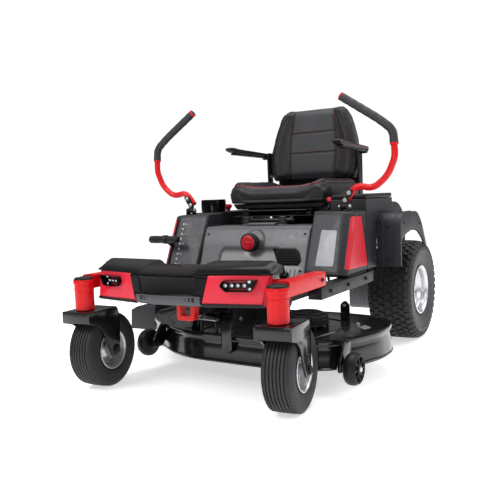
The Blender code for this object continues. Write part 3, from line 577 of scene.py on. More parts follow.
both("caster_barrel_shell_{}", barrel_skin, "chassis", "red", "frame_red", ["caster_barrel_{}"])
both("caster_barrel_cap_{}", barrel_cap, "chassis", "trim", "frame_black")


def arm():
    bar = box((0.3762, -0.700, 0.3762), (0.4258, -0.3985, 0.4258), 0.0045, 4)
    cope = turn([(0, 0.30), (0.0346, 0.30), (0.0346, 0.3950), (0.0376, 0.3975), (0.0376, 0.45), (0, 0.45)], "Z", (CX, CY, 0), 64)
    return cut(bar, cope)


both("front_arm_tube_{}", arm, "chassis", "red", "frame_red", ["front_arm_{}"])


def arm_fixings():
    parts = [bolt((0.4256, -0.430, 0.401), "X", 0.0060, 0.0045, dome=True)]
    parts.append(box((0.3770, -0.3992, 0.3770), (0.4250, -0.3930, 0.4250), 0.002, 2))
    return merge(*parts)


both("front_arm_fixings_{}", arm_fixings, "chassis", "dark_bolt", "frame_black")

beam = box((-0.3755, -0.632, 0.388), (0.3755, -0.597, 0.424), 0.004, 4)
tow = prism(rounded([(-0.022, 0.276), (0.046, 0.276), (0.052, 0.300), (0.052, 0.400), (-0.022, 0.400)], 0.010, 5), "Y", -0.650, -0.622, 0.002, 3)
eye = prism(rounded([(-0.006, 0.292), (0.036, 0.292), (0.036, 0.352), (-0.006, 0.352)], 0.008, 5), "Y", -0.70, -0.60)
P("front_beam_tube", cut(join(beam, tow), eye), "chassis", "red", "frame_red", ["front_beam"])
P("tow_bracket_bolts", merge(*[bolt((x, -0.650, z), "Y", 0.006, 0.005, sign=-1) for x, z in ((-0.014, 0.376), (0.044, 0.376))]), "chassis", "zinc", "steel")


def rail():
    outline = rounded([(0.376, -0.44), (0.426, -0.44), (0.426, 0.090), (0.2575, 0.285), (0.2575, 0.970), (0.2125, 0.970), (0.2125, 0.268), (0.376, 0.075)], [0.002, 0.002, 0.04, 0.04, 0.002, 0.002, 0.04, 0.04], 4)
    return prism([(p.x, p.y) for p in outline], "Z", 0.333, 0.3755, 0.0035, 3)


both("frame_rail_tube_{}", rail, "chassis", "black", "frame_black", ["frame_rail_{}"])
both("frame_rail_bolts_{}", lambda: merge(*[bolt((0.4258, y, 0.3545), "X", 0.007, 0.006) for y in (-0.36, -0.20, -0.02)], *[bolt((0.2573, y, 0.3545), "X", 0.007, 0.006) for y in (0.34, 0.88)]), "chassis", "dark_bolt", "steel")
refine("engine_plate", "black", 0.0012)

guard_path = rounded([(0.235, 0.9705, 0.354), (0.235, 1.045, 0.354), (0.235, 1.058, 0.400), (0.235, 1.058, 0.560), (-0.235, 1.058, 0.560), (-0.235, 1.058, 0.400), (-0.235, 1.045, 0.354), (-0.235, 0.9705, 0.354)],
                     [0, 0.03, 0.03, 0.05, 0.05, 0.03, 0.03, 0], 10, closed=False)
P("rear_guard_bar", tube(guard_path, 0.0155, 32), "chassis", "black", "frame_black", ["rear_guard"])
P("rear_guard_flanges", merge(*[box((s * 0.235 - 0.024, 0.9702, 0.3345), (s * 0.235 + 0.024, 0.9755, 0.3740), 0.0015, 2) for s in (-1, 1)],
                              *[bolt((s * 0.235 + dx, 0.9754, 0.354), "Y", 0.0045, 0.004) for s in (-1, 1) for dx in (-0.0195, 0.0195)]), "chassis", "black", "frame_black")

# ------------------------------------------------------------------ hood: one moulding, low in the middle and raised over each lamp
def hood_ring(x):
    s = abs(x)
    up = smooth(0.0935, 0.117, s)
    front = (1 - up) * -0.7370 + up * at_y([(0.095, -0.7310), (0.335, -0.6680), (0.362, -0.6560)], s)
    end = smooth(0.325, 0.366, s)
    top = (1 - up) * 0.4640 + up * at_y([(0.1, 0.4700), (0.335, 0.4740)], s) - 0.012 * end ** 2
    rear_up = (1 - up) * 0.002 + up * 0.010
    pts = [(front, 0.4427), (front, 0.4475), (front + 0.012, top - 0.0105), (front + 0.036, top), (-0.606, top + rear_up), (-0.596, top + rear_up - 0.007), (-0.596, 0.4427)]
    ring = rounded([(p[0], p[1], 0) for p in pts], [0.001, 0.003, 0.010, 0.016, 0.006, 0.005, 0.001], 5)
    return [(x, p.x, p.y) for p in ring]


xs = [0.0, 0.04, 0.075, 0.088, 0.0935, 0.0965, 0.0995, 0.1025, 0.1055, 0.1085, 0.1115, 0.1145, 0.117, 0.121, 0.13, 0.15, 0.20, 0.25, 0.30, 0.325, 0.335, 0.345, 0.353, 0.359, 0.3625, 0.3645]
xs = [-x for x in reversed(xs[1:])] + xs
P("hood_cover", loft([hood_ring(x) for x in xs]), "chassis", "gloss", "gloss_black", ["hood"], angle=40)
P("hood_edge_seal", loft([[(x, hood_ring(x)[0][1] + dy, z) for dy, z in ((0.0016, 0.4420), (0.0016, 0.4436), (0.0080, 0.4436), (0.0080, 0.4420))] for x in xs]), "chassis", "trim", "charcoal")

# centre panel: slightly crowned gloss face with a raised border and a lower air strip
def grille_ring(x):
    u = abs(x) / 0.1575
    crown = 1 - u * u
    f = -0.7225 - 0.0125 * crown
    edge = 0.0030 if abs(x) < 0.118 else 0.0
    w = 0.1345 / 0.1575
    pts = [(f, 0.4418, 1.0), (f - 0.0005, 0.4340, 0.992), (f - 0.0007 + edge, 0.4310, 0.987), (f - 0.0015 + edge, 0.3790, 0.918), (f - 0.0030, 0.3760, 0.912), (f - 0.0040, 0.3560, w), (f - 0.0020, 0.3490, 0.852), (f + 0.0120, 0.3400, 0.81), (-0.694, 0.3390, 0.82), (-0.692, 0.4418, 1.0)]
    ring = rounded([(x * k, y, z) for y, z, k in pts], 0.0022, 3)
    return [tuple(p) for p in ring]


gx = [-0.1575, -0.150, -0.135, -0.1215, -0.119, -0.1165, -0.10, -0.08, -0.05, -0.02, 0.02, 0.05, 0.08, 0.10, 0.1165, 0.119, 0.1215, 0.135, 0.150, 0.1575]
P("grille_face", loft([grille_ring(x) for x in gx]), "chassis", "gloss", "gloss_black", ["grille_panel"], angle=40)
strips = []
for i in range(15):
    x = -0.105 + i * 0.015
    y = -0.7225 - 0.0125 * (1 - (x / 0.1575) ** 2) - 0.0032
    strips.append(box((x - 0.0052, y - 0.0008, 0.3555), (x + 0.0052, y + 0.004, 0.3715), 0.0012, 2))
P("grille_slots", merge(*strips), "chassis", "trim", "charcoal")
band = []
for x in gx[1:-1]:
    f = -0.7225 - 0.0125 * (1 - (x / 0.1575) ** 2)
    k = 0.865
    band.append([(x * k, f - 0.0046, 0.3745), (x * k, f - 0.0052, 0.3735), (x * k, f - 0.0052, 0.3535), (x * k, f - 0.0040, 0.3500), (x * k, f + 0.004, 0.3440), (x * k, f + 0.004, 0.3745)])
P("grille_lower_band", loft(band), "chassis", "band", "charcoal", angle=40)

# lamp panels: satin moulding with a darker lower band and a deep lamp recess
SLOPE = math.atan2(0.061, 0.1915)
LAMP = Matrix.Translation((0.262, -0.697, 0.413)) @ Matrix.Rotation(SLOPE, 4, "Z")
HEX = [(-0.062, -0.001), (-0.050, 0.017), (0.060, 0.017), (0.040, -0.019), (-0.044, -0.019)]


def lamp_outline(grow, r=0.004):
    c = Vector((sum(p[0] for p in HEX) / 5, sum(p[1] for p in HEX) / 5))
    out = []
    for p in HEX:
        v = Vector(p) - c
        out.append((c.x + v.x + grow * v.x / v.length, c.y + v.y + grow * v.y / v.length, 0))
    return [(p.x, p.y) for p in rounded(out, r, 4)]


def lamp_panel():
    body = hull([(0.1590, -0.722, 0.4420), (0.350, -0.661, 0.4420), (0.1355, -0.728, 0.351), (0.336, -0.688, 0.351), (0.340, -0.672, 0.342),
                 (0.1385, -0.712, 0.342), (0.352, -0.636, 0.4420), (0.344, -0.636, 0.346), (0.1590, -0.690, 0.4420), (0.1355, -0.690, 0.346)], 0.0035, 3)
    hole = moved(prism(lamp_outline(0.0), "Y", -0.040, 0.0125), LAMP)
    return cut(body, hole)


both("lamp_panel_{}", lamp_panel, "chassis", "panel_red", "panel_red", ["headlight_panel_{}"], angle=34)


def lamp_bezel():
    rings = []
    for grow, y in ((-0.0002, 0.0118), (-0.0002, -0.0150), (0.0005, -0.0168), (-0.0012, -0.0176), (-0.0030, -0.0160), (-0.0036, 0.0020), (-0.0036, 0.0095)):
        rings.append([(x, y, z) for x, z in lamp_outline(grow)])
    return moved(loft(rings), LAMP)


both("lamp_bezel_{}", lamp_bezel, "chassis", "gloss", "gloss_black")
LEDS = [(-0.045, -0.0010), (-0.0245, -0.0012), (-0.0045, -0.0014), (0.0165, -0.0016), (0.0320, 0.0105), (0.0330, -0.0130)]


def led_cups():
    return moved(merge(*[turn([(0.0022, 0.0085), (0.0058, 0.0026), (0.0063, 0.0024), (0.0065, 0.0040), (0.0065, 0.0100), (0.0022, 0.0100)], "Y", (x, -0.004, z), 28) for x, z in LEDS]), LAMP)


def led_lenses():
    return moved(merge(*[turn([(0, 0.0025), (0.0018, 0.0030), (0.0030, 0.0044), (0.0036, 0.0066), (0, 0.0066)], "Y", (x, -0.0035, z), 24) for x, z in LEDS]), LAMP)


def lamp_bars():
    return moved(merge(box((-0.052, 0.0070, 0.0080), (0.020, 0.0110, 0.0120), 0.0012, 2), box((-0.036, 0.0070, -0.0160), (0.022, 0.0110, -0.0125), 0.0012, 2)), LAMP)


both("led_reflectors_{}", led_cups, "chassis", "chrome", "silver")
both("led_lenses_{}", led_lenses, "chassis", "lens", "silver")
both("lamp_accent_bars_{}", lamp_bars, "chassis", "badge", "panel_red")


def lower_band():
    """Dark lip under the lamp panel."""
    a, b = Vector((0.1390, -0.7292, 0.3475)), Vector((0.3375, -0.6880, 0.3475))
    rings = []
    for i in range(13):
        c = a.lerp(b, i / 12)
        rings.append([(c.x, c.y + dy, c.z + dz) for dy, dz in ((-0.0008, 0.0060), (-0.0014, 0.0030), (-0.0004, -0.0030), (0.0090, -0.0068), (0.0300, -0.0068), (0.0300, 0.0060))])
    return loft(rings)


both("lamp_panel_lip_{}", lower_band, "chassis", "trim", "charcoal")

# ------------------------------------------------------------------ foot area
refine("floor_pan", "black", 0.0012)
mat_parts = [box((-0.340, -0.572, 0.3500), (0.340, -0.316, 0.3535), 0.0012, 2)]
for i in range(24):
    y = -0.560 + i * 0.0102
    mat_parts.append(box((-0.325, y, 0.3530), (0.325, y + 0.0042, 0.3556), 0.0010, 2))
P("floor_mat", merge(*mat_parts), "chassis", "rubber", "charcoal")
P("floor_bolts", merge(*[bolt((x, y, 0.3500), "Z", 0.006, 0.004, dome=True) for x in (-0.358, 0.358) for y in (-0.55, -0.33)]), "chassis", "zinc", "steel")

PANEL = rounded([(0.018, 0.5665, 0), (-0.112, 0.5665, 0), (-0.122, 0.5560, 0), (-0.145, 0.510, 0), (-0.160, 0.464, 0), (-0.180, 0.410, 0), (-0.205, 0.360, 0)], [0, 0.008, 0.010, 0.02, 0.02, 0.02, 0], 5, closed=False)


def panel_line(step=0.0042):
    pts = [Vector((p.x, p.y)) for p in PANEL]
    out = [pts[0]]
    for a, b in zip(pts, pts[1:]):
        n = max(1, int((b - a).length / step))
        out += [a.lerp(b, (i + 1) / n) for i in range(n)]
    return out


def inset_box(x, z, cx, cz, hx, hz, r):
    """Signed distance to a rounded rectangle."""
    qx, qz = abs(x - cx) - hx + r, abs(z - cz) - hz + r
    return math.hypot(max(qx, 0), max(qz, 0)) + min(max(qx, qz), 0) - r


def panel_relief(x, z):
    """How far the front face is pressed in, in metres, and whether it is the lighter inlay."""
    d = 0.0
    d += 0.0022 * math.exp(-((z - 0.5110) / 0.0016) ** 2) if abs(x) > 0.045 else 0.0
    s = inset_box(x, z, -0.010, 0.425, 0.142, 0.053, 0.022)
    d += 0.0060 * smooth(0.004, -0.004, s) - 0.0016 * math.exp(-(s / 0.0035) ** 2)
    light = s < -0.001
    r = inset_box(x, z, 0.186, 0.390, 0.040, 0.026, 0.006)
    if r < 0:
        d += 0.0018 * (0.5 + 0.5 * math.cos(2 * math.pi * x / 0.0095)) * smooth(0.0, -0.004, r)
        light = True
    q = math.hypot(x, z - 0.505)
    d += 0.0030 * smooth(0.052, 0.046, q)
    return d, light


line = panel_line()
cols = np.linspace(-0.2445, 0.2445, 132)
front, rear, lit = [], [], []
for i, p in enumerate(line):
    a, b = line[max(i - 1, 0)], line[min(i + 1, len(line) - 1)]
    t = (b - a).normalized()
    inward = Vector((-t.y, t.x))
    if inward.x < 0 and inward.y > 0 or inward.x < 0:
        inward = -inward
    if abs(inward.x) < 0.3 and inward.y > 0:
        inward = -inward
    fr, rr, ll = [], [], []
    for x in cols:
        d, light = panel_relief(x, p.y) if p.y < 0.560 else (0.0, False)
        ease = 0.0025 * smooth(0.2415, 0.2445, abs(x))
        fr.append((x, p.x + inward.x * (d + ease), p.y + inward.y * (d + ease)))
        rr.append((x, p.x + inward.x * 0.0115, p.y + inward.y * 0.0115))
        ll.append(light)
    front.append(fr)
    rear.append(rr)
    lit.append(ll)
bm = bmesh.new()
fv = [[bm.verts.new(p) for p in row] for row in front]
rv = [[bm.verts.new(p) for p in row] for row in rear]
rows, n = len(fv), len(cols)
for i in range(rows - 1):
    for j in range(n - 1):
        f = bm.faces.new((fv[i][j], fv[i][j + 1], fv[i + 1][j + 1], fv[i + 1][j]))
        f.material_index = 1 if lit[i][j] and lit[i + 1][j + 1] else 0
        bm.faces.new((rv[i][j], rv[i + 1][j], rv[i + 1][j + 1], rv[i][j + 1]))
    bm.faces.new((fv[i][0], fv[i + 1][0], rv[i + 1][0], rv[i][0]))
    bm.faces.new((fv[i][n - 1], rv[i][n - 1], rv[i + 1][n - 1], fv[i + 1][n - 1]))
for j in range(n - 1):
    bm.faces.new((fv[0][j], rv[0][j], rv[0][j + 1], fv[0][j + 1]))
    bm.faces.new((fv[-1][j], fv[-1][j + 1], rv[-1][j + 1], rv[-1][j]))
P("foot_panel_moulding", bm, "chassis", ["grey", "grey_light"], "grey_panel", ["foot_panel"], angle=40)
P("foot_panel_screws", merge(*[turn([(0, y - 0.0022), (0.0035, y - 0.0020), (0.0055, y - 0.0006), (0.0058, y + 0.001), (0, y + 0.001)], "Y", (x, 0, z), 24) for x in (-0.225, 0.225) for z, y in ((0.535, -0.1325), (0.395, -0.1870))]), "chassis", "dark_bolt", "frame_black")

# ------------------------------------------------------------------ consoles
def console_shell():
    return hull([(0.246, -0.092, 0.621), (0.377, -0.115, 0.618), (0.392, -0.214, 0.384), (0.250, -0.206, 0.384), (0.420, -0.088, 0.612), (0.4205, -0.196, 0.384),
                 (0.246, 0.020, 0.621), (0.4195, 0.020, 0.618), (0.4205, 0.020, 0.384), (0.250, 0.020, 0.384)], 0.0075, 5)


P("console_shell_left", console_shell(), "chassis", "charcoal", "charcoal", ["console_left"], angle=40)
slot_cut = prism(rounded([(-0.30, 0.372), (0.0145, 0.372), (0.0145, 0.598), (-0.30, 0.598)], 0.002, 2), "X", -0.3973, -0.3847)
P("console_shell_right", cut(mirrored(console_shell()), slot_cut), "chassis", "charcoal", "charcoal", ["console_right"], angle=40)
both("lever_bracket_ears_{}", lambda: merge(*[prism(rounded([(-0.074, 0.612, 0), (-0.042, 0.612, 0), (-0.048, 0.6455, 0), (-0.068, 0.6455, 0)], 0.006, 4), "X", a, a + 0.0069, 0.001, 2) if False else
                                              prism([(p.x, p.y) for p in rounded([(-0.074, 0.612, 0), (-0.042, 0.612, 0), (-0.048, 0.6458, 0), (-0.068, 0.6458, 0)], 0.006, 4)], "X", a, a + 0.0069, 0.001, 2) for a in (0.3435, 0.3735)]), "chassis", "black", "frame_black")


def face_y(z):
    """Front face of a console at a height, near its middle."""
    return -0.100 - 0.1105 * (0.6195 - z) / 0.2355


def console_face(x0, x1, z0, z1, out, r=0.004, thick=0.0016, y_in=None):
    """A plate lying on the console's front face."""
    ring = rounded([(x0, z0, 0), (x1, z0, 0), (x1, z1, 0), (x0, z1, 0)], r, 4)

    def y_of(x, z):
        t = max(0.0, min(1.0, (0.6195 - z) / 0.2355))
        a = -0.092 + (-0.206 + 0.092) * t
        b = -0.115 + (-0.214 + 0.115) * t
        xa, xb = 0.246 + 0.004 * t, 0.377 + 0.015 * t
        return a + (b - a) * (x - xa) / (xb - xa)

    return loft([[(p.x, y_of(p.x, p.y) + 0.0010, p.y) for p in ring], [(p.x, y_of(p.x, p.y) - out + 0.0005, p.y) for p in ring],
                 [(p.x + (0.0006 if p.x < (x0 + x1) / 2 else -0.0006), y_of(p.x, p.y) - out, p.y + (0.0006 if p.y < (z0 + z1) / 2 else -0.0006)) for p in ring]])


# painted light: a lighter copy of the console plastic is laid as a thin plate on the front face of both consoles,
# standing in for the light that falls on that face
def painted_light_outline():
    ring = rounded([(0.2560, 0.398, 0), (0.3830, 0.398, 0), (0.3700, 0.606, 0), (0.2530, 0.606, 0)], 0.010, 5)
    return ring


def plate_on_face(ring, out, back=0.0015):
    def y_of(x, z):
        t = (0.6195 - z) / 0.2355
        a, b = -0.092 - 0.114 * t, -0.115 - 0.099 * t
        xa, xb = 0.246 + 0.004 * t, 0.377 + 0.015 * t
        return a + (b - a) * (x - xa) / (xb - xa)

    c = sum((p for p in ring), Vector()) / len(ring)
    inner = [c + (p - c) * (1 - 0.0010 / max((p - c).length, 1e-3)) for p in ring]
    return loft([[(p.x, y_of(p.x, p.y) + back, p.y) for p in ring], [(p.x, y_of(p.x, p.y) - out * 0.6, p.y) for p in ring], [(p.x, y_of(p.x, p.y) - out, p.y) for p in inner]])


def decal(tree, outline, out, axis=1, rings=9):
    """A thin plate that follows a body's face; outline is (x, z) seen from the front or (y, z) seen from the left."""
    pts = [Vector((p[0], p[1])) for p in outline]
    c = sum(pts, Vector((0, 0))) / len(pts)
    bm = bmesh.new()

    def put(q, lift):
        start = Vector((q.x, -2.0, q.y)) if axis == 1 else Vector((2.0, q.x, q.y))
        way = Vector((0, 1, 0)) if axis == 1 else Vector((-1, 0, 0))
        found = tree.ray_cast(start, way)[0]
        if found is None:
            found = tree.find_nearest(Vector((q.x, -0.15, q.y)) if axis == 1 else Vector((0.42, q.x, q.y)))[0]
        return bm.verts.new(found - way * lift)

    rows = []
    for k in range(1, rings + 1):
        t = k / rings
        rows.append([put(c + (p - c) * t, out) for p in pts])
    rows.append([put(c + (p - c) * (1 + 0.0004 / max((p - c).length, 1e-3)), out * 0.5) for p in pts])
    rows.append([put(c + (p - c), -0.0012) for p in pts])
    middle = put(c, out)
    n = len(pts)
    for i in range(n):
        bm.faces.new((middle, rows[0][i], rows[0][(i + 1) % n]))
    for lo, hi in zip(rows, rows[1:]):
        for i in range(n):
            j = (i + 1) % n
            bm.faces.new((lo[i], hi[i], hi[j], lo[j]))
    bm.faces.new(rows[-1])
    bmesh.ops.recalc_face_normals(bm, faces=bm.faces)
    return bm


def fine(ring, step=0.008):
    """Add points along the long sides of an outline."""
    out = []
    for i, a in enumerate(ring):
        b = ring[(i + 1) % len(ring)]
        m = max(1, int((Vector(b) - Vector(a)).length / step))
        out += [Vector(a).lerp(Vector(b), k / m) for k in range(m)]
    return out


body = console_shell()
CONSOLE = BVHTree.FromBMesh(body)
body.free()
# painted light: lighter plates over the front face of each console
P("console_painted_light_left", decal(CONSOLE, fine(painted_light_outline()), 0.0009), "chassis", "charcoal_front", "charcoal", angle=30)
right_painted_light = mirrored(decal(CONSOLE, fine(painted_light_outline()), 0.0009))
P("console_painted_light_right", cut(right_painted_light, prism([(-0.35, 0.372), (0.0145, 0.372), (0.0145, 0.598), (-0.35, 0.598)], "X", -0.3973, -0.3847)), "chassis", "charcoal_front", "charcoal", angle=30)
label_ring = rounded([(0.2920, 0.4190, 0), (0.3660, 0.4185, 0), (0.3630, 0.5480, 0), (0.2960, 0.5510, 0)], 0.006, 5)
P("blank_plate_left", decal(CONSOLE, fine(label_ring), 0.0016), "chassis", "label", "silver", angle=30)
marks = []
for i in range(9):
    z = 0.416 + i * 0.0205
    x = 0.3560 - 0.0005 * i
    marks.append(decal(CONSOLE, [(x + 0.0040 * math.cos(a), z + 0.0040 * math.sin(a)) for a in np.linspace(0, 2 * math.pi, 17)[:-1]], 0.0016, rings=1))
    if i % 2 == 0:
        marks.append(decal(CONSOLE, rounded([(x - 0.020, z - 0.0011, 0), (x - 0.009, z - 0.0011, 0), (x - 0.009, z + 0.0011, 0), (x - 0.020, z + 0.0011, 0)], 0.0008, 2), 0.0016, rings=1))
P("height_scale_marks", mirrored(merge(*marks)), "chassis", "white", "silver", angle=30)


def side_badge():
    return decal(CONSOLE, fine(rounded([(-0.106, 0.598, 0), (-0.040, 0.598, 0), (0.014, 0.402, 0), (-0.193, 0.406, 0)], 0.007, 5)), 0.0014, axis=0)


both("console_badge_{}", side_badge, "chassis", "badge", "panel_red", angle=30)

# ------------------------------------------------------------------ fenders
def fender():
    outer_line = rounded([(0.130, 0.385, 0), (0.130, 0.565, 0), (0.160, 0.600, 0), (0.365, 0.600, 0), (0.430, 0.552, 0), (0.508, 0.436, 0), (0.489, 0.436, 0), (0.450, 0.475, 0), (0.380, 0.515, 0),
                          (0.300, 0.527, 0), (0.200, 0.512, 0), (0.142, 0.487, 0), (0.1405, 0.385, 0)], [0.003, 0.018, 0.022, 0.03, 0.03, 0.004, 0.004, 0.02, 0.03, 0.03, 0.02, 0.01, 0.002], 5)
    outer = prism([(p.x, p.y) for p in outer_line], "X", 0.4212, 0.520, 0.0055, 4)
    inner = prism([(0.1420, 0.30), (0.1420, 0.556), (0.172, 0.590), (0.360, 0.590), (0.420, 0.545), (0.560, 0.34), (0.560, 0.30)], "X", 0.431, 0.5105)
    inside = prism([(0.340, 0.30), (0.340, 0.5895), (0.3605, 0.5895), (0.4205, 0.5445), (0.5605, 0.34), (0.5605, 0.30)], "X", 0.400, 0.470)
    behind = box((0.400, 0.442, 0.30), (0.5105, 0.600, 0.62))
    return cut(outer, inner, inside, behind)


both("fender_shell_{}", fender, "chassis", "charcoal", "charcoal", ["fender_{}"], angle=30)
both("fender_rib_{}", lambda: merge(*[tube(rounded([(x, 0.1285, 0.400), (x, 0.1285, 0.560), (x, 0.160, 0.6005), (x, 0.350, 0.6005)], [0, 0.016, 0.02, 0], 8, closed=False), 0.0022, 10, cap=0.001) for x in (0.445, 0.496)]), "chassis", "charcoal", "charcoal")
both("fender_screws_{}", lambda: merge(*[bolt((x, 0.1300, z), "Y", 0.0050, 0.0035, sign=-1, dome=True) for x, z in ((0.470, 0.410), (0.470, 0.545))], *[bolt((0.5198, y, z), "X", 0.005, 0.0035, dome=True) for y, z in ((0.180, 0.560), (0.400, 0.545))]), "chassis", "dark_bolt", "frame_black")

# ------------------------------------------------------------------ boxes beside the seat
SIDE = [(0.0205, 0.386, 0), (0.1296, 0.386, 0), (0.1296, 0.500, 0), (0.500, 0.500, 0)]
left_line = rounded([*SIDE, (0.500, 0.575, 0), (0.470, 0.610, 0), (0.420, 0.636, 0), (0.372, 0.643, 0), (0.335, 0.643, 0), (0.335, 0.662, 0), (0.0205, 0.662, 0)], [0.001, 0.001, 0.01, 0.01, 0.02, 0.03, 0.03, 0.02, 0.004, 0.004, 0.004], 5)
P("storage_box_body", prism([(p.x, p.y) for p in left_line], "X", 0.2705, 0.4200, 0.006, 4), "chassis", "charcoal", "charcoal", ["storage_box"], angle=30)
lid = box((0.2712, 0.0215, 0.6625), (0.4200, 0.3345, 0.6818), 0.007, 5)
lid_inner = box((0.290, 0.044, 0.6795), (0.402, 0.312, 0.6900), 0.003, 3)
P("storage_box_lid", cut(lid, lid_inner), "chassis", "trim", "charcoal", angle=30)
P("storage_box_latch", merge(box((0.332, 0.0202, 0.6500), (0.360, 0.0262, 0.6760), 0.003, 3), *[tube([(0.292, 0.335, z), (0.400, 0.335, z)], 0.0042, 16) for z in (0.6640,)]), "chassis", "black", "frame_black")

right_line = rounded([*SIDE, (0.500, 0.612, 0), (0.488, 0.6218, 0), (0.0205, 0.6218, 0)], [0.001, 0.001, 0.01, 0.01, 0.012, 0.008, 0.004], 5)
tray = mirrored(prism([(p.x, p.y) for p in right_line], "X", 0.2705, 0.4200, 0.006, 4))
tray_well = box((-0.405, 0.275, 0.6080), (-0.286, 0.470, 0.640), 0.012, 4)
P("side_tray_body", cut(tray, rod(0.0406, "Z", (-0.350, 0.105, 0), 0.54, 0.70, 64), tray_well), "chassis", "charcoal", "charcoal", ["side_tray"], angle=30)
P("side_tray_liner", merge(*[box((-0.398, 0.286 + i * 0.0175, 0.6078), (-0.293, 0.2935 + i * 0.0175, 0.6098), 0.0008, 2) for i in range(10)]), "chassis", "rubber", "charcoal")
P("cup_holder_cup", turn([(0.0395, 0.5455), (0.0400, 0.5475), (0.0400, 0.6218), (0.0420, 0.6232), (0.0545, 0.6235), (0.0558, 0.6255), (0.0558, 0.6755), (0.0550, 0.6785), (0.0532, 0.6798), (0.0505, 0.6796), (0.0490, 0.6775),
                          (0.0372, 0.6320), (0.0365, 0.6280), (0.0352, 0.5505), (0.0340, 0.5490), (0.0008, 0.5490), (0.0008, 0.5455)], "Z", (-0.350, 0.105, 0), 72), "chassis", "gloss", "gloss_black", ["cup_holder"], angle=32)
P("cup_holder_ribs", merge(*[moved(box((-0.0012, -0.0567, 0.630), (0.0012, -0.0545, 0.672), 0.0006, 2), Matrix.Translation((-0.350, 0.105, 0)) @ Matrix.Rotation(2 * math.pi * i / 24, 4, "Z")) for i in range(24)]), "chassis", "gloss", "gloss_black")

# ------------------------------------------------------------------ fuel tank and cap
tank = box((-0.205, -0.098, 0.392), (0.205, 0.380, 0.550), 0.020, 5)
neck = rod(0.0235, "Y", (0, 0, 0.505), -0.180, -0.080, 48)
P("fuel_tank_shell", merge(tank, neck, *[tube([(x, -0.090, 0.4), (x, -0.0975, 0.42), (x, -0.0975, 0.535)], 0.003, 10) for x in (-0.12, 0.12)]), "chassis", "trim", "tank_black", ["fuel_tank"], angle=34)


def knurled_cap():
    bm = bmesh.new()
    n = 120
    prof = [(0.0262, -0.1642), (0.0372, -0.1642), (0.0375, -0.1655), (0.0375, -0.1880), (0.0366, -0.1905), (0.0335, -0.1918), (0.0320, -0.1920), (0, -0.1920)]
    inner = [(0.0262, -0.1820), (0, -0.1820)]
    rings = []
    for r, y in [*prof[:-1]]:
        row = []
        for i in range(n):
            a = 2 * math.pi * i / n
            k = 1 - (0.040 * (0.5 + 0.5 * math.cos(20 * a)) ** 3 if r > 0.035 else 0)
            row.append(bm.verts.new((r * k * math.cos(a), y, 0.505 + r * k * math.sin(a))))
        rings.append(row)
    inn = [bm.verts.new((0.0262 * math.cos(2 * math.pi * i / n), -0.1820, 0.505 + 0.0262 * math.sin(2 * math.pi * i / n))) for i in range(n)]
    rings.insert(0, inn)
    for lo, hi in zip(rings, rings[1:]):
        for i in range(n):
            j = (i + 1) % n
            bm.faces.new((lo[i], lo[j], hi[j], hi[i]))
    bm.faces.new(rings[0])
    bm.faces.new(rings[-1])
    return clean(bm)


P("fuel_cap_body", knurled_cap(), "cap", "trim", "gloss_black", ["fuel_cap"])
disc = turn([(0, -0.1950), (0.0165, -0.1953), (0.0255, -0.1948), (0.0285, -0.1935), (0.0298, -0.1915), (0, -0.1915)], "Y", (0, 0, 0.505), 72)
P("fuel_cap_disc", disc, "cap", "badge", "panel_red")
# raised ring, grip bar and three turn marks on the cap's face
ring_face = turn([(0.0180, -0.1950), (0.0186, -0.1964), (0.0200, -0.1964), (0.0206, -0.1950)], "Y", (0, 0, 0.505), 64)
P("fuel_cap_relief", merge(ring_face, prism([(p.x, p.y) for p in rounded([(-0.014, 0.5015, 0), (0.014, 0.5015, 0), (0.014, 0.5085, 0), (-0.014, 0.5085, 0)], 0.0034, 5)], "Y", -0.1975, -0.1945, 0.001, 2),
                           *[rod(0.0016, "Y", (0.0238 * math.cos(a), 0, 0.505 + 0.0238 * math.sin(a)), -0.1962, -0.1940, 16) for a in (math.pi / 2, math.pi * 7 / 6, math.pi * 11 / 6)]), "cap", "badge", "panel_red")

# ------------------------------------------------------------------ front casters
def front_profile():
    def r_of(x):
        return at_y([(0.0, 0.1393), (0.018, 0.1392), (0.030, 0.1386), (0.036, 0.1380), (0.0415, 0.1355), (0.046, 0.1318)], abs(x))
    pts = []
    grooves = [-0.0300, -0.0180, -0.0060, 0.0060, 0.0180, 0.0300]
    marks = [-0.0415]
    for g in grooves:
        marks += [g - 0.0021, g - 0.0012, g + 0.0012, g + 0.0021]
    marks.append(0.0415)
    for x in marks:
        deep = any(abs(x - g) < 0.0015 for g in grooves)
        pts.append((r_of(x) - (0.0048 if deep else 0.0), x))
    wall = [(0.0655, -0.0400), (0.0700, -0.0422), (0.0745, -0.0450), (0.0780, -0.0458), (0.0830, -0.0478), (0.0835, -0.0486), (0.0860, -0.0490), (0.0868, -0.0484), (0.0930, -0.0499), (0.1040, -0.0509), (0.1140, -0.0508),
            (0.1148, -0.0501), (0.1172, -0.0499), (0.1180, -0.0505), (0.1235, -0.0499), (0.1290, -0.0480), (0.1332, -0.0458), (0.1350, -0.0440), (0.1372, -0.0428)]
    return wall + pts + [(r, -x) for r, x in reversed(wall)] + [(0.0650, 0.030), (0.0650, -0.030)]


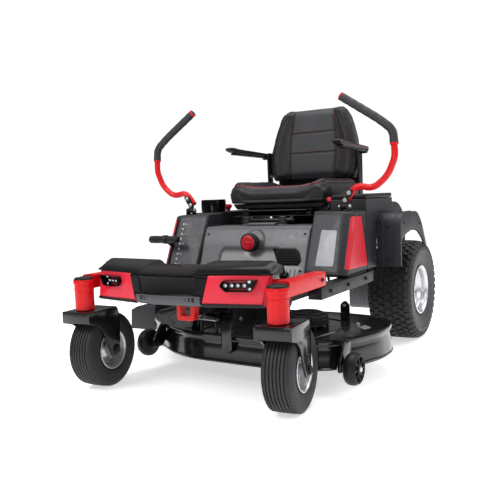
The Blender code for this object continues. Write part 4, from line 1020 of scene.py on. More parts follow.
WHEEL = (0, 0.087, 0.1395)
for side, s, swivel in (("left", 1, 0.104), ("right", -1, 0.053)):
    place = Matrix.Translation((s * CX, CY, 0)) @ Matrix.Rotation(swivel, 4, "Z")
    tyre = turn(front_profile(), "X", WHEEL, 120)
    sipes = []
    for i in range(56):
        a = 2 * math.pi * i / 56
        for x in (-0.0378, 0.0378):
            sipes.append(moved(box((x - 0.0060, -0.0013, 0.1325), (x + 0.0060, 0.0013, 0.1379), 0.0005, 1), Matrix.Translation(WHEEL) @ Matrix.Rotation(a, 4, "X")))
    P("front_tyre_body_" + side, moved(tyre, place), "front_wheel_" + side, "tyre", "tyre", ["front_tyre_" + side], angle=38)
    P("front_tyre_shoulder_ribs_" + side, moved(merge(*sipes), place), "front_wheel_" + side, "tyre", "tyre")
    rim_half = [(0.0640, 0.0440), (0.0700, 0.0452), (0.0728, 0.0462), (0.0735, 0.0480), (0.0730, 0.0495), (0.0715, 0.0500), (0.0690, 0.0494), (0.0665, 0.0478), (0.0648, 0.0455), (0.0636, 0.0380), (0.0618, 0.0300), (0.0612, 0.0200),
                (0.0590, 0.0150), (0.0540, 0.0128), (0.0470, 0.0135), (0.0400, 0.0165), (0.0330, 0.0205), (0.0270, 0.0235), (0.0232, 0.0255), (0.0215, 0.0300), (0.0212, 0.0505), (0.0200, 0.0524), (0.0180, 0.0529), (0.0112, 0.0529)]
    rim = turn([(r, x) for r, x in rim_half] + [(r, -x) for r, x in reversed(rim_half)], "X", WHEEL, 96)
    P("front_rim_dish_" + side, moved(rim, place), "front_wheel_" + side, "rim", "silver", ["front_rim_" + side], angle=30)
    extras = []
    for k in (-1, 1):
        for i in range(4):
            a = 2 * math.pi * i / 4 + 0.4
            extras.append(bolt((k * 0.0165, WHEEL[1] + 0.040 * math.cos(a), WHEEL[2] + 0.040 * math.sin(a)), "X", 0.0052, 0.0045, sign=k))
    P("front_rim_bolts_" + side, moved(merge(*extras), place), "front_wheel_" + side, "zinc", "silver")
    valve = merge(tube([(s * 0.030, WHEEL[1], WHEEL[2] + 0.0600), (s * 0.040, WHEEL[1], WHEEL[2] + 0.0560), (s * 0.0475, WHEEL[1], WHEEL[2] + 0.0530)], [0.0042, 0.0036, 0.0032], 16), rod(0.0040, "X", (0, WHEEL[1], WHEEL[2] + 0.0530), s * 0.0470 if s > 0 else -0.0520, 0.0520 if s > 0 else s * 0.0470, 16))
    P("front_valve_" + side, moved(valve, place), "front_wheel_" + side, "rubber", "tyre")
    seal = [turn([(0.0108, k * 0.0522), (0.0190, k * 0.0522), (0.0188, k * 0.0534), (0.0150, k * 0.0537), (0.0108, k * 0.0537)], "X", WHEEL, 48) for k in (-1, 1)]
    P("front_bearing_seal_" + side, moved(merge(*seal), place), "front_wheel_" + side, "dark_bolt", "steel")

    w = 0.062
    leg = rounded([(-0.054, 0.2985, 0), (0.1055, 0.2985, 0), (0.118, 0.262, 0), (0.110, 0.122, 0), (0.098, 0.114, 0), (0.076, 0.114, 0), (0.062, 0.124, 0), (0.010, 0.238, 0), (-0.054, 0.2565, 0)],
                  [0.003, 0.010, 0.014, 0.010, 0.008, 0.008, 0.010, 0.030, 0.004], 6)
    legs = [prism([(p.x, p.y) for p in leg], "X", a, a + 0.008, 0.0016, 2) for a in (-w, w - 0.008)]
    crown = prism([(-w + 0.0040, -0.054), (w - 0.0040, -0.054), (w - 0.0040, 0.1045), (-w + 0.0040, 0.1045)], "Z", 0.2885, 0.2993, 0.0016, 2)
    lip = box((-w + 0.0040, -0.054, 0.258), (w - 0.0040, -0.0455, 0.2990), 0.0016, 2)
    P("caster_fork_frame_" + side, moved(merge(crown, lip, *legs), place), "caster_" + side, "deck", "deck_black", ["caster_fork_" + side])
    shaft = merge(rod(0.010, "X", WHEEL, -w - 0.002, w + 0.002, 32), bolt((w + 0.0002, WHEEL[1], WHEEL[2]), "X", 0.0138, 0.0072), bolt((-w - 0.0002, WHEEL[1], WHEEL[2]), "X", 0.0138, 0.0072, sign=-1),
                  rod(0.0062, "X", WHEEL, w + 0.005, w + 0.0084, 24), rod(0.0125, "Z", (0, 0, 0), 0.294, 0.398, 40))
    P("caster_axle_" + side, moved(shaft, place), "caster_" + side, "dark_bolt", "steel")
    welds = [tube([(k * (w - 0.0085), -0.040, 0.2876), (k * (w - 0.0085), 0.095, 0.2876)], 0.0022, 12, cap=0.0015) for k in (-1, 1)]
    collar = turn([(0.0126, 0.2990), (0.0240, 0.2990), (0.0240, 0.3012), (0.0225, 0.3017), (0.0126, 0.3017)], "Z", (0, 0, 0), 48)
    P("caster_fork_welds_" + side, moved(merge(*welds, collar), place), "caster_" + side, "deck", "deck_black")

# ------------------------------------------------------------------ rear wheels
RX, RY, RZ = 0.384, 0.578, 0.2285
CARCASS = [(0.1050, -0.0770), (0.1090, -0.0785), (0.1150, -0.0815), (0.1180, -0.0832), (0.1215, -0.0842), (0.1222, -0.0855), (0.1250, -0.0863), (0.1262, -0.0862), (0.1400, -0.0908), (0.1560, -0.0950), (0.1700, -0.0972), (0.1710, -0.0965),
           (0.1740, -0.0969), (0.1750, -0.0978), (0.1850, -0.0982), (0.1960, -0.0974), (0.2040, -0.0950), (0.2100, -0.0915), (0.2145, -0.0865), (0.2175, -0.0780), (0.2190, -0.0640), (0.2205, -0.0400), (0.2210, -0.0200), (0.2212, 0.0)]


def crown_r(x):
    return at_y([(0.0, 0.2285), (0.040, 0.2284), (0.060, 0.2272), (0.076, 0.2248), (0.086, 0.2212), (0.094, 0.2140)], abs(x))


def block(outline, a0, base_drop=0.0100, ease=0.0013):
    """A tread block: outline in (x, arc length), standing on the carcass."""
    c = Vector((sum(p[0] for p in outline) / len(outline), sum(p[1] for p in outline) / len(outline)))
    ring_pts = [(p.x, p.y) for p in rounded([(p[0], p[1], 0) for p in outline], 0.0030, 2)]

    def put(x, s, r):
        a = a0 + s / 0.2285
        return Vector((x, r * math.cos(a), r * math.sin(a)))

    rings = []
    for grow, drop in ((0.0012, base_drop), (0.0, ease), (-ease * 0.7, 0.0)):
        ring = []
        for x, s in ring_pts:
            v = Vector((x - c.x, s - c.y))
            k = 1 + grow / max(v.length, 1e-4)
            xx, ss = c.x + v.x * k, c.y + v.y * k
            ring.append(put(xx, ss, crown_r(xx) - drop))
        rings.append(ring)
    return loft(rings)


def quick_merge(makers):
    out = bmesh.new()
    for b in makers:
        me = bpy.data.meshes.new("work")
        b.to_mesh(me)
        out.from_mesh(me)
        b.free()
        bpy.data.meshes.remove(me)
    return out


TURNS = 40
PITCH = 2 * math.pi / TURNS


def tread():
    blocks = []
    arc = 2 * math.pi * 0.2285 / TURNS
    for i in range(TURNS):
        a = i * PITCH
        # centre: two rows of chevron arms that interlock
        for x0, x1, lean, shift in ((-0.0150, 0.0150, 0.010, 0.0), (0.0200, 0.0430, -0.009, 0.5), (-0.0430, -0.0200, -0.009, 0.5), (0.0480, 0.0680, 0.009, 0.0), (-0.0680, -0.0480, 0.009, 0.0)):
            k = 1 if x0 + x1 >= 0 else -1
            h = arc * 0.335
            s = arc * shift
            lean *= k
            outline = [(x0, s - h - lean * 0.5), (x1, s - h + lean * 0.5), (x1, s + h + lean * 0.5), (x0, s + h - lean * 0.5)]
            if abs(x0 + x1) < 1e-6:
                outline = [(x0, s - h + 0.006), (0.0, s - h - 0.006), (x1, s - h + 0.006), (x1, s + h + 0.006), (0.0, s + h - 0.006), (x0, s + h + 0.006)]
            blocks.append(block(outline, a))
        for k in (-1, 1):
            h = arc * 0.34
            s = arc * 0.5
            outline = [(k * 0.0725, s - h), (k * 0.0885, s - h - 0.003), (k * 0.0940, s - h + 0.002), (k * 0.0940, s + h - 0.002), (k * 0.0885, s + h + 0.003), (k * 0.0725, s + h)]
            blocks.append(block(outline, a, base_drop=0.0085))
            # shoulder lug that runs down the wall
            rings = []
            for r, x, out in ((0.2135, 0.0872, 0.0035), (0.2090, 0.0918, 0.0040), (0.2020, 0.0955, 0.0032), (0.1950, 0.0972, 0.0014)):
                ring = []
                for ds, dd in ((-h, -0.004), (-h * 0.86, out), (h * 0.86, out), (h, -0.004)):
                    aa = a + (s + ds) / 0.2285
                    xx = min(x + dd, 0.0989)
                    ring.append((k * xx, (r + dd * 0.5) * math.cos(aa), (r + dd * 0.5) * math.sin(aa)))
                rings.append(ring)
            blocks.append(loft(rings))
    return quick_merge(blocks)


for side, s in SIDES:
    centre = (s * RX, RY, RZ)
    half = CARCASS[:-1]
    carcass = turn(half + [CARCASS[-1]] + [(r, -x) for r, x in reversed(half)] + [(0.1050, 0.05), (0.1050, -0.05)], "X", centre, 128)
    P("rear_tyre_carcass_" + side, carcass, "rear_wheel_" + side, "tyre_wall", "tyre", ["rear_tyre_" + side], angle=40)
    P("rear_tyre_tread_" + side, moved(tread(), Matrix.Translation(centre) @ Matrix.Rotation(0.02, 4, "X")), "rear_wheel_" + side, "tyre", "tyre", angle=40)
    k = s
    prof = [(0.1046, -0.0845), (0.1100, -0.0852), (0.1125, -0.0862), (0.1125, -0.0878), (0.1105, -0.0885), (0.1060, -0.0880), (0.1010, -0.0860), (0.0992, -0.0800), (0.0990, 0.0250), (0.0975, 0.0310), (0.0920, 0.0338), (0.0320, 0.0340), (0.0300, 0.0300),
            (0.0300, -0.0290), (0.0290, -0.0300), (0.0136, -0.0300), (0.0136, 0.0452), (0.0150, 0.0462), (0.0270, 0.0462), (0.0300, 0.0445), (0.0320, 0.0412), (0.0420, 0.0398), (0.0500, 0.0400), (0.0560, 0.0425), (0.0600, 0.0438),
            (0.0660, 0.0432), (0.0720, 0.0404), (0.0780, 0.0400), (0.0835, 0.0432), (0.0880, 0.0500), (0.0910, 0.0560), (0.0940, 0.0590), (0.0955, 0.0640), (0.0962, 0.0760), (0.0978, 0.0800), (0.1015, 0.0845), (0.1060, 0.0880), (0.1105, 0.0885),
            (0.1125, 0.0878), (0.1125, 0.0862), (0.1100, 0.0852), (0.1046, 0.0845)]
    rim = turn([(r, k * x) for r, x in prof], "X", centre, 112)
    P("rear_rim_dish_" + side, rim, "rear_wheel_" + side, "rim", "silver", ["rear_rim_" + side], angle=28)
    hub = [turn([(0, k * 0.0470), (0.0085, k * 0.0470), (0.0115, k * 0.0462), (0.0118, k * 0.0440), (0, k * 0.0440)], "X", centre, 48)]
    nuts = []
    for i in range(5):
        a = 2 * math.pi * i / 5 + 0.3
        nuts.append(bolt((s * RX + k * 0.0396, RY + 0.0460 * math.cos(a), RZ + 0.0460 * math.sin(a)), "X", 0.0075, 0.0085, sign=k))
    nuts.append(bolt((s * RX + k * 0.0466, RY, RZ), "X", 0.0100, 0.0075, sign=k))
    P("rear_wheel_nuts_" + side, merge(*hub, *nuts), "rear_wheel_" + side, "zinc", "silver")
    holes = []
    for i in range(5):
        a = 2 * math.pi * (i + 0.5) / 5 + 0.3
        holes.append(turn([(0, k * 0.0402), (0.0052, k * 0.0402), (0.0060, k * 0.0408), (0.0066, k * 0.0402), (0.0066, k * 0.0380), (0, k * 0.0380)], "X", (s * RX, RY + 0.070 * math.cos(a), RZ + 0.070 * math.sin(a)), 28))
    P("rear_rim_plugs_" + side, merge(*holes), "rear_wheel_" + side, "dark_bolt", "steel")
    vx = s * RX + k * 0.052
    P("rear_valve_" + side, merge(tube([(vx, RY - 0.086, RZ), (vx + k * 0.012, RY - 0.0835, RZ), (vx + k * 0.028, RY - 0.082, RZ)], [0.0050, 0.0042, 0.0034], 16), rod(0.0044, "X", (0, RY - 0.082, RZ), min(vx + k * 0.0275, vx + k * 0.034), max(vx + k * 0.0275, vx + k * 0.034), 16)), "rear_wheel_" + side, "rubber", "tyre")

# ------------------------------------------------------------------ transaxles and engine
for side, s in SIDES:
    flip = (lambda b: b) if s > 0 else mirrored
    case = join(box((0.165, 0.440, 0.150), (0.274, 0.690, 0.300), 0.014, 4), rod(0.030, "X", (0, RY, RZ), 0.25, 0.2835, 48))
    P("transaxle_case_" + side, flip(case), "chassis", "alloy", "alloy", ["transaxle_" + side], angle=34)
    ribs = [box((0.172 + i * 0.016, 0.4385, 0.165), (0.1755 + i * 0.016, 0.6915, 0.3015), 0.0012, 2) for i in range(6)]
    ribs += [box((0.170, 0.455 + i * 0.030, 0.1492), (0.270, 0.459 + i * 0.030, 0.3015), 0.0012, 2) for i in range(8)]
    P("transaxle_fins_" + side, flip(merge(*ribs)), "chassis", "alloy", "alloy")
    P("transaxle_shaft_" + side, flip(merge(rod(0.0125, "X", (0, RY, RZ), 0.26, 0.4275, 36), rod(0.020, "X", (0, RY, RZ), 0.2800, 0.2900, 36, 0.001))), "chassis", "zinc", "alloy")
    pul = turn([(0, 0.2950), (0.0445, 0.2950), (0.0450, 0.2965), (0.0350, 0.3070), (0.0350, 0.3090), (0.0450, 0.3195), (0.0445, 0.3210), (0.018, 0.3210), (0.017, 0.3275), (0, 0.3275)], "Z", (0.224, 0.530, 0), 64)
    P("transaxle_pulley_" + side, flip(pul), "chassis", "dark_bolt", "alloy")
    fan = [moved(box((0.012, -0.0011, 0.3205), (0.0435, 0.0011, 0.3275), 0.0005, 1), Matrix.Translation((0.224, 0.530, 0)) @ Matrix.Rotation(2 * math.pi * i / 10, 4, "Z")) for i in range(10)]
    P("transaxle_fan_" + side, flip(merge(*fan)), "chassis", "trim", "alloy")

block_bm = turn([(0, 0.3825), (0.120, 0.3825), (0.128, 0.386), (0.135, 0.400), (0.135, 0.478), (0.131, 0.490), (0.120, 0.4995), (0, 0.4995)], "Z", (0, 0.735, 0), 80)
P("engine_block", block_bm, "chassis", "alloy", "alloy", ["engine"], angle=34)
heads = []
for s in (-1, 1):
    for i in range(11):
        x = s * (0.128 + i * 0.0078)
        heads.append(box((min(x, x + s * 0.0035), 0.600, 0.410), (max(x, x + s * 0.0035), 0.720, 0.492), 0.0012, 2))
    heads.append(box((min(s * 0.085, s * 0.206), 0.612, 0.420), (max(s * 0.085, s * 0.206), 0.708, 0.482), 0.006, 3))
    heads.append(box((min(s * 0.206, s * 0.2218), 0.604, 0.414), (max(s * 0.206, s * 0.2218), 0.716, 0.488), 0.007, 4))
P("engine_cylinders", merge(*heads), "chassis", "alloy", "alloy", angle=34)
P("engine_bolts", merge(*[bolt((s * 0.2214, 0.660 + dy, 0.451 + dz), "X", 0.0055, 0.005, sign=s) for s in (-1, 1) for dy in (-0.045, 0.045) for dz in (-0.026, 0.026)],
                        *[tube([(s * 0.221, 0.660, 0.451), (s * 0.226, 0.660, 0.451)], 0.012, 24, cap=0.002) for s in (-1, 1)]), "chassis", "zinc", "alloy")
muff = turn([(0, -0.1600), (0.030, -0.1600), (0.040, -0.1570), (0.0445, -0.1500), (0.0450, -0.1440), (0.0440, -0.1425), (0.0450, -0.1410), (0.0450, 0.1410), (0.0440, 0.1425), (0.0450, 0.1440), (0.0445, 0.1500), (0.040, 0.1570), (0.030, 0.1600), (0, 0.1600)], "X", (0, 0.945, 0.440), 64)
P("silencer", muff, "chassis", "copper", "alloy", angle=34)
pipes = [tube(rounded([(s * 0.170, 0.722, 0.436), (s * 0.170, 0.800, 0.436), (s * 0.070, 0.860, 0.440), (s * 0.070, 0.935, 0.440)], 0.04, 8, closed=False), 0.0125, 24) for s in (-1, 1)]
P("exhaust_pipes", merge(*pipes, tube(rounded([(0.110, 0.985, 0.440), (0.110, 1.005, 0.432), (0.110, 1.012, 0.410)], 0.01, 6, closed=False), 0.0115, 24)), "chassis", "copper", "alloy")
shield = []
for i in range(11):
    x = -0.135 + i * 0.027
    shield.append(tube([(x, 0.945 + 0.0485 * math.cos(a), 0.440 + 0.0485 * math.sin(a)) for a in np.linspace(-0.6, 2.2, 14)], 0.0022, 8, cap=0.001))
shield += [tube([(-0.140, 0.945 + 0.0485 * math.cos(a), 0.440 + 0.0485 * math.sin(a)), (0.140, 0.945 + 0.0485 * math.cos(a), 0.440 + 0.0485 * math.sin(a))], 0.0026, 8, cap=0.001) for a in (-0.55, 0.8, 2.15)]
P("silencer_guard", merge(*shield), "chassis", "black", "frame_black")
P("air_cleaner", merge(box((-0.075, 0.815, 0.4980), (0.075, 0.905, 0.5750), 0.014, 4), rod(0.010, "Z", (0.0, 0.860, 0), 0.572, 0.590, 32, 0.003)), "chassis", "trim", "gloss_black", angle=34)
P("oil_filter", turn([(0, 0.4300), (0.034, 0.4300), (0.037, 0.4340), (0.037, 0.4960), (0.033, 0.5010), (0.015, 0.5030), (0, 0.5030)], "Z", (0.182, 0.790, 0), 56), "chassis", "white", "alloy", angle=30)
cover = turn([(0, 0.5005), (0.150, 0.5005), (0.163, 0.5065), (0.168, 0.5150), (0.168, 0.5560), (0.166, 0.5650), (0.153, 0.5930), (0.146, 0.5995), (0.104, 0.6110), (0.100, 0.6140), (0.099, 0.6205), (0.096, 0.6218), (0.088, 0.6218), (0.086, 0.6160), (0, 0.6160)], "Z", (0, 0.735, 0), 112)
P("engine_shroud", cover, "chassis", "gloss", "gloss_black", ["engine_cover"], angle=30)
screen = [tube([(r * math.cos(a), 0.735 + r * math.sin(a), 0.6185) for a in np.linspace(0, 2 * math.pi, 49)], 0.0014, 8) for r in (0.020, 0.034, 0.048, 0.062, 0.076)]
screen += [tube([(0.012 * math.cos(a), 0.735 + 0.012 * math.sin(a), 0.6185), (0.086 * math.cos(a), 0.735 + 0.086 * math.sin(a), 0.6185)], 0.0018, 8) for a in np.linspace(0, 2 * math.pi, 13)[:-1]]
P("engine_fan_screen", merge(*screen, turn([(0, 0.6160), (0.015, 0.6160), (0.015, 0.6200), (0.012, 0.6212), (0, 0.6212)], "Z", (0, 0.735, 0), 40)), "chassis", "trim", "gloss_black")
P("engine_shroud_ribs", merge(*[moved(box((0.1055, -0.0022, 0.598), (0.1450, 0.0022, 0.6128), 0.0012, 2), Matrix.Translation((0, 0.735, 0)) @ Matrix.Rotation(2 * math.pi * (i + 0.5) / 24, 4, "Z")) for i in range(24)]), "chassis", "gloss", "gloss_black")

# ------------------------------------------------------------------ drive levers
LY, LZ = -0.058, 0.636
TUBE = [(0.3605, 0.6610), (0.402, 0.716), (0.470, 0.701), (0.528, 0.748), (0.557, 0.815), (0.5545, 0.864)]
GRIP = [(0.5545, 0.8645), (0.551, 0.915), (0.500, 0.958), (0.345, 1.061)]


def base_plate():
    outline = rounded([(0.3525, 0.634, 0), (0.3715, 0.634, 0), (0.3715, 0.652, 0), (0.3960, 0.692, 0), (0.3900, 0.700, 0), (0.3780, 0.700, 0), (0.3525, 0.658, 0)], 0.004, 4)
    plate = prism([(p.x, p.y) for p in outline], "Y", LY - 0.0035, LY + 0.0093, 0.0012, 2)
    return merge(rod(0.0105, "X", (0, LY, LZ), 0.3510, 0.3730, 36, 0.001), plate)


both("lever_base_plate_{}", base_plate, "lever_mount_{}", "black", "frame_black", ["lever_base_{}"])
both("lever_base_bolts_{}", lambda: merge(bolt((0.3800, LY - 0.0035, 0.6880), "Y", 0.0056, 0.0045, sign=-1), bolt((0.3630, LY - 0.0035, 0.6600), "Y", 0.0056, 0.0045, sign=-1)), "lever_mount_{}", "zinc", "steel")
both("lever_pivot_bolts_{}", lambda: merge(bolt((0.3804, LY, LZ), "X", 0.0068, 0.0055), bolt((0.3436, LY, LZ), "X", 0.0068, 0.0055, sign=-1)), "chassis", "zinc", "steel")


def lever_bar():
    path = rounded([(x, -0.034, z) for x, z in TUBE], 0.030, 9, closed=False)
    return tube(path, 0.0127, 32, cap=0.002)


def lever_clamp():
    """Flattened foot of the lever."""
    a, b = Vector((0.3605, -0.034, 0.661)), Vector((0.402, -0.034, 0.716))
    d = (b - a).normalized()
    n = Vector((d.z, 0, -d.x))
    pts = [a + d * 0.001 + n * 0.0122, a + d * 0.040 + n * 0.0122, a + d * 0.040 - n * 0.0122, a + d * 0.001 - n * 0.0122]
    return prism([(p.x, p.z) for p in rounded(pts, 0.006, 4)], "Y", -0.0482, -0.0420, 0.001, 2)


both("lever_bar_{}", lever_bar, "lever_{}", "red", "frame_red", ["lever_tube_{}"], angle=50)
both("lever_foot_{}", lever_clamp, "lever_{}", "red", "frame_red")


def grip_sleeve():
    path = rounded([(x, -0.034, z) for x, z in GRIP], 0.040, 12, closed=False)
    pts, rad = [], []
    total, run = sum((b - a).length for a, b in zip(path, path[1:])), 0.0
    for a, b in zip(path, path[1:]):
        n = max(1, int((b - a).length / 0.0045))
        for i in range(n):
            pts.append(a.lerp(b, i / n))
            s = run + (b - a).length * i / n
            rad.append(0.0160 + 0.0003 * math.sin(s * 190))
        run += (b - a).length
    pts.append(path[-1])
    rad.append(0.0158)
    return tube(pts, rad, 32, cap=0.0035)


both("lever_grip_sleeve_{}", grip_sleeve, "lever_{}", "foam", "foam", ["lever_grip_{}"], angle=50)


def grip_ends():
    a, b = Vector((0.345, -0.034, 1.061)), Vector((0.500, -0.034, 0.958))
    d = (a - b).normalized()
    lower = tube([(0.5546, -0.034, 0.8600), (0.5544, -0.034, 0.8690)], 0.0163, 32, cap=0.0015)
    upper = tube([a - d * 0.0070, a - d * 0.0002], 0.0164, 32, cap=0.0025)
    return merge(lower, upper)


both("lever_grip_ends_{}", grip_ends, "lever_{}", "red", "frame_red", angle=50)

# ------------------------------------------------------------------ controls
def lever_arm():
    pts = rounded([(0.007, 0.391, 0), (0.001, 0.4045, 0), (-0.210, 0.526, 0), (-0.218, 0.512, 0), (-0.008, 0.3875, 0)], 0.003, 3)
    return prism([(p.x, p.y) for p in pts], "X", -0.3943, -0.3887, 0.0010, 2)


P("height_lever_bar", merge(lever_arm(), rod(0.009, "X", (0, 0.0, 0.396), -0.3980, -0.3850, 32, 0.001)), "height_control", "black", "frame_black", ["height_lever"])
hy, hz = -0.215, 0.520
P("height_lever_grip", turn([(0, -0.4718), (0.0110, -0.4712), (0.0145, -0.4685), (0.0158, -0.4640), (0.0160, -0.4580), (0.0152, -0.4520), (0.0148, -0.4400), (0.0150, -0.4060), (0.0150, -0.3720), (0.0146, -0.3400), (0.0142, -0.3300), (0.0128, -0.3240), (0.0080, -0.3224), (0, -0.3222)], "X", (0, hy, hz), 56), "height_control", "trim", "frame_black", angle=40)
P("height_lever_grip_ridges", merge(*[turn([(0.0130, x - 0.0018), (0.0158, x - 0.0012), (0.0160, x), (0.0158, x + 0.0012), (0.0130, x + 0.0018)], "X", (0, hy, hz), 48) for x in (-0.446, -0.439, -0.432, -0.425, -0.418)]), "height_control", "trim", "frame_black", angle=40)
P("height_lever_collar", merge(turn([(0.0140, -0.4020), (0.0180, -0.4015), (0.0185, -0.4000), (0.0185, -0.3820), (0.0180, -0.3805), (0.0140, -0.3800)], "X", (0, hy, hz), 56), bolt((-0.391, hy - 0.0180, hz), "Y", 0.0050, 0.0042, sign=-1)), "height_control", "dark_bolt", "frame_black")

py, pz = -0.245, 0.386
stalk = rounded([(py - 0.010, pz, 0), (py + 0.008, pz - 0.006, 0), (py + 0.010, pz + 0.006, 0), (-0.296, 0.496, 0), (-0.310, 0.494, 0)], 0.003, 3)
P("lift_pedal_stalk", merge(prism([(p.x, p.y) for p in stalk], "X", 0.1765, 0.1895, 0.0012, 2), rod(0.013, "X", (0, py, pz), 0.170, 0.200, 36, 0.001)), "pedal", "black", "frame_black", ["lift_pedal"])
TILT = Matrix.Translation((0, -0.306, 0.464)) @ Matrix.Rotation(0.28, 4, "X")
hexa = rounded([(0.186, -0.018, 0), (0.202, -0.034, 0), (0.272, -0.034, 0), (0.286, -0.018, 0), (0.286, 0.018, 0), (0.272, 0.034, 0), (0.202, 0.034, 0), (0.186, 0.018, 0)], 0.005, 4)
pad_bm = prism([(p.x, p.y) for p in hexa], "Y", -0.0040, 0.0060, 0.0018, 3)
P("lift_pedal_pad", moved(pad_bm, TILT), "pedal", "rubber", "frame_black", angle=34)
P("lift_pedal_treads", moved(merge(*[box((0.198, -0.0060, -0.0265 + i * 0.0105), (0.274, -0.0035, -0.0205 + i * 0.0105), 0.0009, 2) for i in range(6)]), TILT), "pedal", "rubber", "frame_black")

P("throttle_blade", merge(rod(0.009, "X", (0, -0.075, 0.634), 0.300, 0.308, 36, 0.001), box((0.3021, -0.0775, 0.634), (0.3059, -0.0725, 0.662), 0.0008, 2)), "throttle", "black", "frame_black", ["throttle_lever"])
P("throttle_knob", turn([(0, 0.6560), (0.0045, 0.6562), (0.0058, 0.6580), (0.0080, 0.6630), (0.0082, 0.6680), (0.0070, 0.6720), (0.0040, 0.6738), (0, 0.6740)], "Z", (0.304, -0.075, 0), 40), "throttle", "panel_red", "panel_red", angle=40)
P("throttle_plate", merge(box((0.2860, -0.0960, 0.6195), (0.3220, -0.0100, 0.6225), 0.002, 3), *[box((0.3130, -0.088 + i * 0.012, 0.6222), (0.3190, -0.0865 + i * 0.012, 0.6231), 0.0002, 1) for i in range(6)]), "chassis", "trim", "charcoal")
P("blade_switch_knob", turn([(0, 0.6560), (0.0100, 0.6560), (0.0145, 0.6545), (0.0178, 0.6515), (0.0180, 0.6420), (0.0165, 0.6395), (0.0105, 0.6330), (0.0098, 0.6310), (0.0098, 0.6226), (0, 0.6226)], "Z", (-0.350, 0.230, 0), 48), "blade_switch", "panel_red", "panel_red", ["blade_knob"], angle=34)
P("blade_switch_bezel", turn([(0.0120, 0.6216), (0.0250, 0.6216), (0.0250, 0.6235), (0.0238, 0.6246), (0.0130, 0.6246), (0.0120, 0.6238)], "Z", (-0.350, 0.230, 0), 56), "chassis", "trim", "charcoal")

# ------------------------------------------------------------------ cutting deck
SPINDLE = {1: (0.256, -0.205), -1: (-0.262, -0.068)}
RIGHT_ROLLER = Matrix.Translation((0.1515, 0.049, 0.009))
LINE = [(0.0, -0.452), (0.150, -0.462), (0.270, -0.466), (0.360, -0.444), (0.440, -0.410), (0.488, -0.345), (0.522, -0.260), (0.546, -0.180), (0.546, -0.060), (0.505, 0.030), (0.420, 0.090), (0.250, 0.115), (0.0, 0.108),
        (-0.130, 0.150), (-0.210, 0.190), (-0.310, 0.194), (-0.400, 0.168), (-0.480, 0.118), (-0.546, 0.085), (-0.546, -0.120), (-0.5068, -0.157), (-0.4754, -0.2174), (-0.4294, -0.2676), (-0.3721, -0.3041), (-0.3511, -0.3128),
        (-0.300, -0.352), (-0.244, -0.392), (-0.150, -0.432), (-0.078, -0.447)]
DECK = [(p.x, p.y) for p in rounded([(x, y, 0) for x, y in LINE], 0.060, 5)]


def inset(points, d):
    """Move a closed line inwards by d."""
    out = []
    n = len(points)
    for i in range(n):
        a, b, c = Vector(points[i - 1]), Vector(points[i]), Vector(points[(i + 1) % n])
        t = (c - a).normalized()
        out.append(b + Vector((-t.y, t.x)) * d)
    return out


shell = []
for d, z in ((0.0005, 0.0850), (0.0000, 0.0862), (0.0000, 0.0905), (0.0030, 0.0930), (0.0045, 0.0980), (0.0048, 0.1280), (0.0090, 0.1480), (0.0105, 0.1580), (0.0100, 0.1640), (0.0070, 0.1690), (0.0036, 0.1735), (0.0026, 0.1790), (0.0030, 0.1845), (0.0045, 0.1882), (0.0090, 0.1896), (0.0150, 0.1898),
             (0.0185, 0.1880), (0.0210, 0.1868), (0.0240, 0.1868)):
    shell.append([(p.x, p.y, z) for p in inset(DECK, d)])
bm = bmesh.new()
rows = [[bm.verts.new(p) for p in ring] for ring in shell]
n = len(rows[0])
for lo, hi in zip(rows, rows[1:]):
    for i in range(n):
        j = (i + 1) % n
        bm.faces.new((lo[i], lo[j], hi[j], hi[i]))
bm.faces.new(rows[-1])
under = [[bm.verts.new((p.x, p.y, z)) for p in inset(DECK, d)] for d, z in ((0.0030, 0.0850), (0.0062, 0.0960), (0.0062, 0.1300), (0.0125, 0.1500), (0.0125, 0.1820))]
for lo, hi in zip([rows[0]] + under, under):
    for i in range(n):
        j = (i + 1) % n
        bm.faces.new((lo[i], hi[i], hi[j], lo[j]))
bm.faces.new(under[-1])
clean(bm)
mouth = box((-0.62, -0.108, 0.040), (-0.500, 0.060, 0.1700), 0.004, 2)
holes = [rod(0.0165, "Z", (*SPINDLE[s], 0), 0.15, 0.25, 40) for s in (-1, 1)]
deck = cut(bm, mouth, *holes)
P("deck_shell_pressing", deck, "deck", "deck", "deck_black", ["deck_shell"], angle=30)

parts = []
for s in (-1, 1):
    parts.append(turn([(0.0170, 0.1830), (0.0700, 0.1830), (0.0700, 0.1866), (0.0640, 0.1884), (0.0480, 0.1890), (0.0455, 0.1905), (0.0450, 0.1955), (0.0435, 0.1965), (0.0180, 0.1965), (0.0170, 0.1955)], "Z", (*SPINDLE[s], 0), 80))
P("deck_spindle_housings", merge(*parts), "deck", "deck", "deck_black", angle=34)
P("deck_spindle_bolts", merge(*[bolt((SPINDLE[s][0] + 0.057 * math.cos(a), SPINDLE[s][1] + 0.057 * math.sin(a), 0.1886), "Z", 0.0060, 0.0055) for s in (-1, 1) for a in np.linspace(0.4, 0.4 + 2 * math.pi, 7)[:-1]],
                              *[bolt((x, y, 0.1868), "Z", 0.0065, 0.0055) for x, y in ((-0.073, -0.146), (0.0, -0.405), (0.42, -0.10), (-0.44, 0.02), (0.0, 0.05))]), "deck", "zinc", "steel")
ribs = []
for x in (-0.10, 0.0, 0.10):
    ribs.append(tube([(x, -0.405, 0.1862), (x, -0.27, 0.1862)], 0.0040, 16, cap=0.003))
for path in ([(0.36, -0.385, 0.1862), (0.40, -0.22, 0.1862), (0.36, -0.06, 0.1862), (0.20, -0.01, 0.1862)], [(-0.330, -0.275, 0.1862), (-0.420, -0.190, 0.1862), (-0.450, -0.050, 0.1862), (-0.400, 0.070, 0.1862), (-0.300, 0.120, 0.1862)]):
    ribs.append(tube(rounded(path, 0.06, 8, closed=False), 0.0040, 16, cap=0.003))
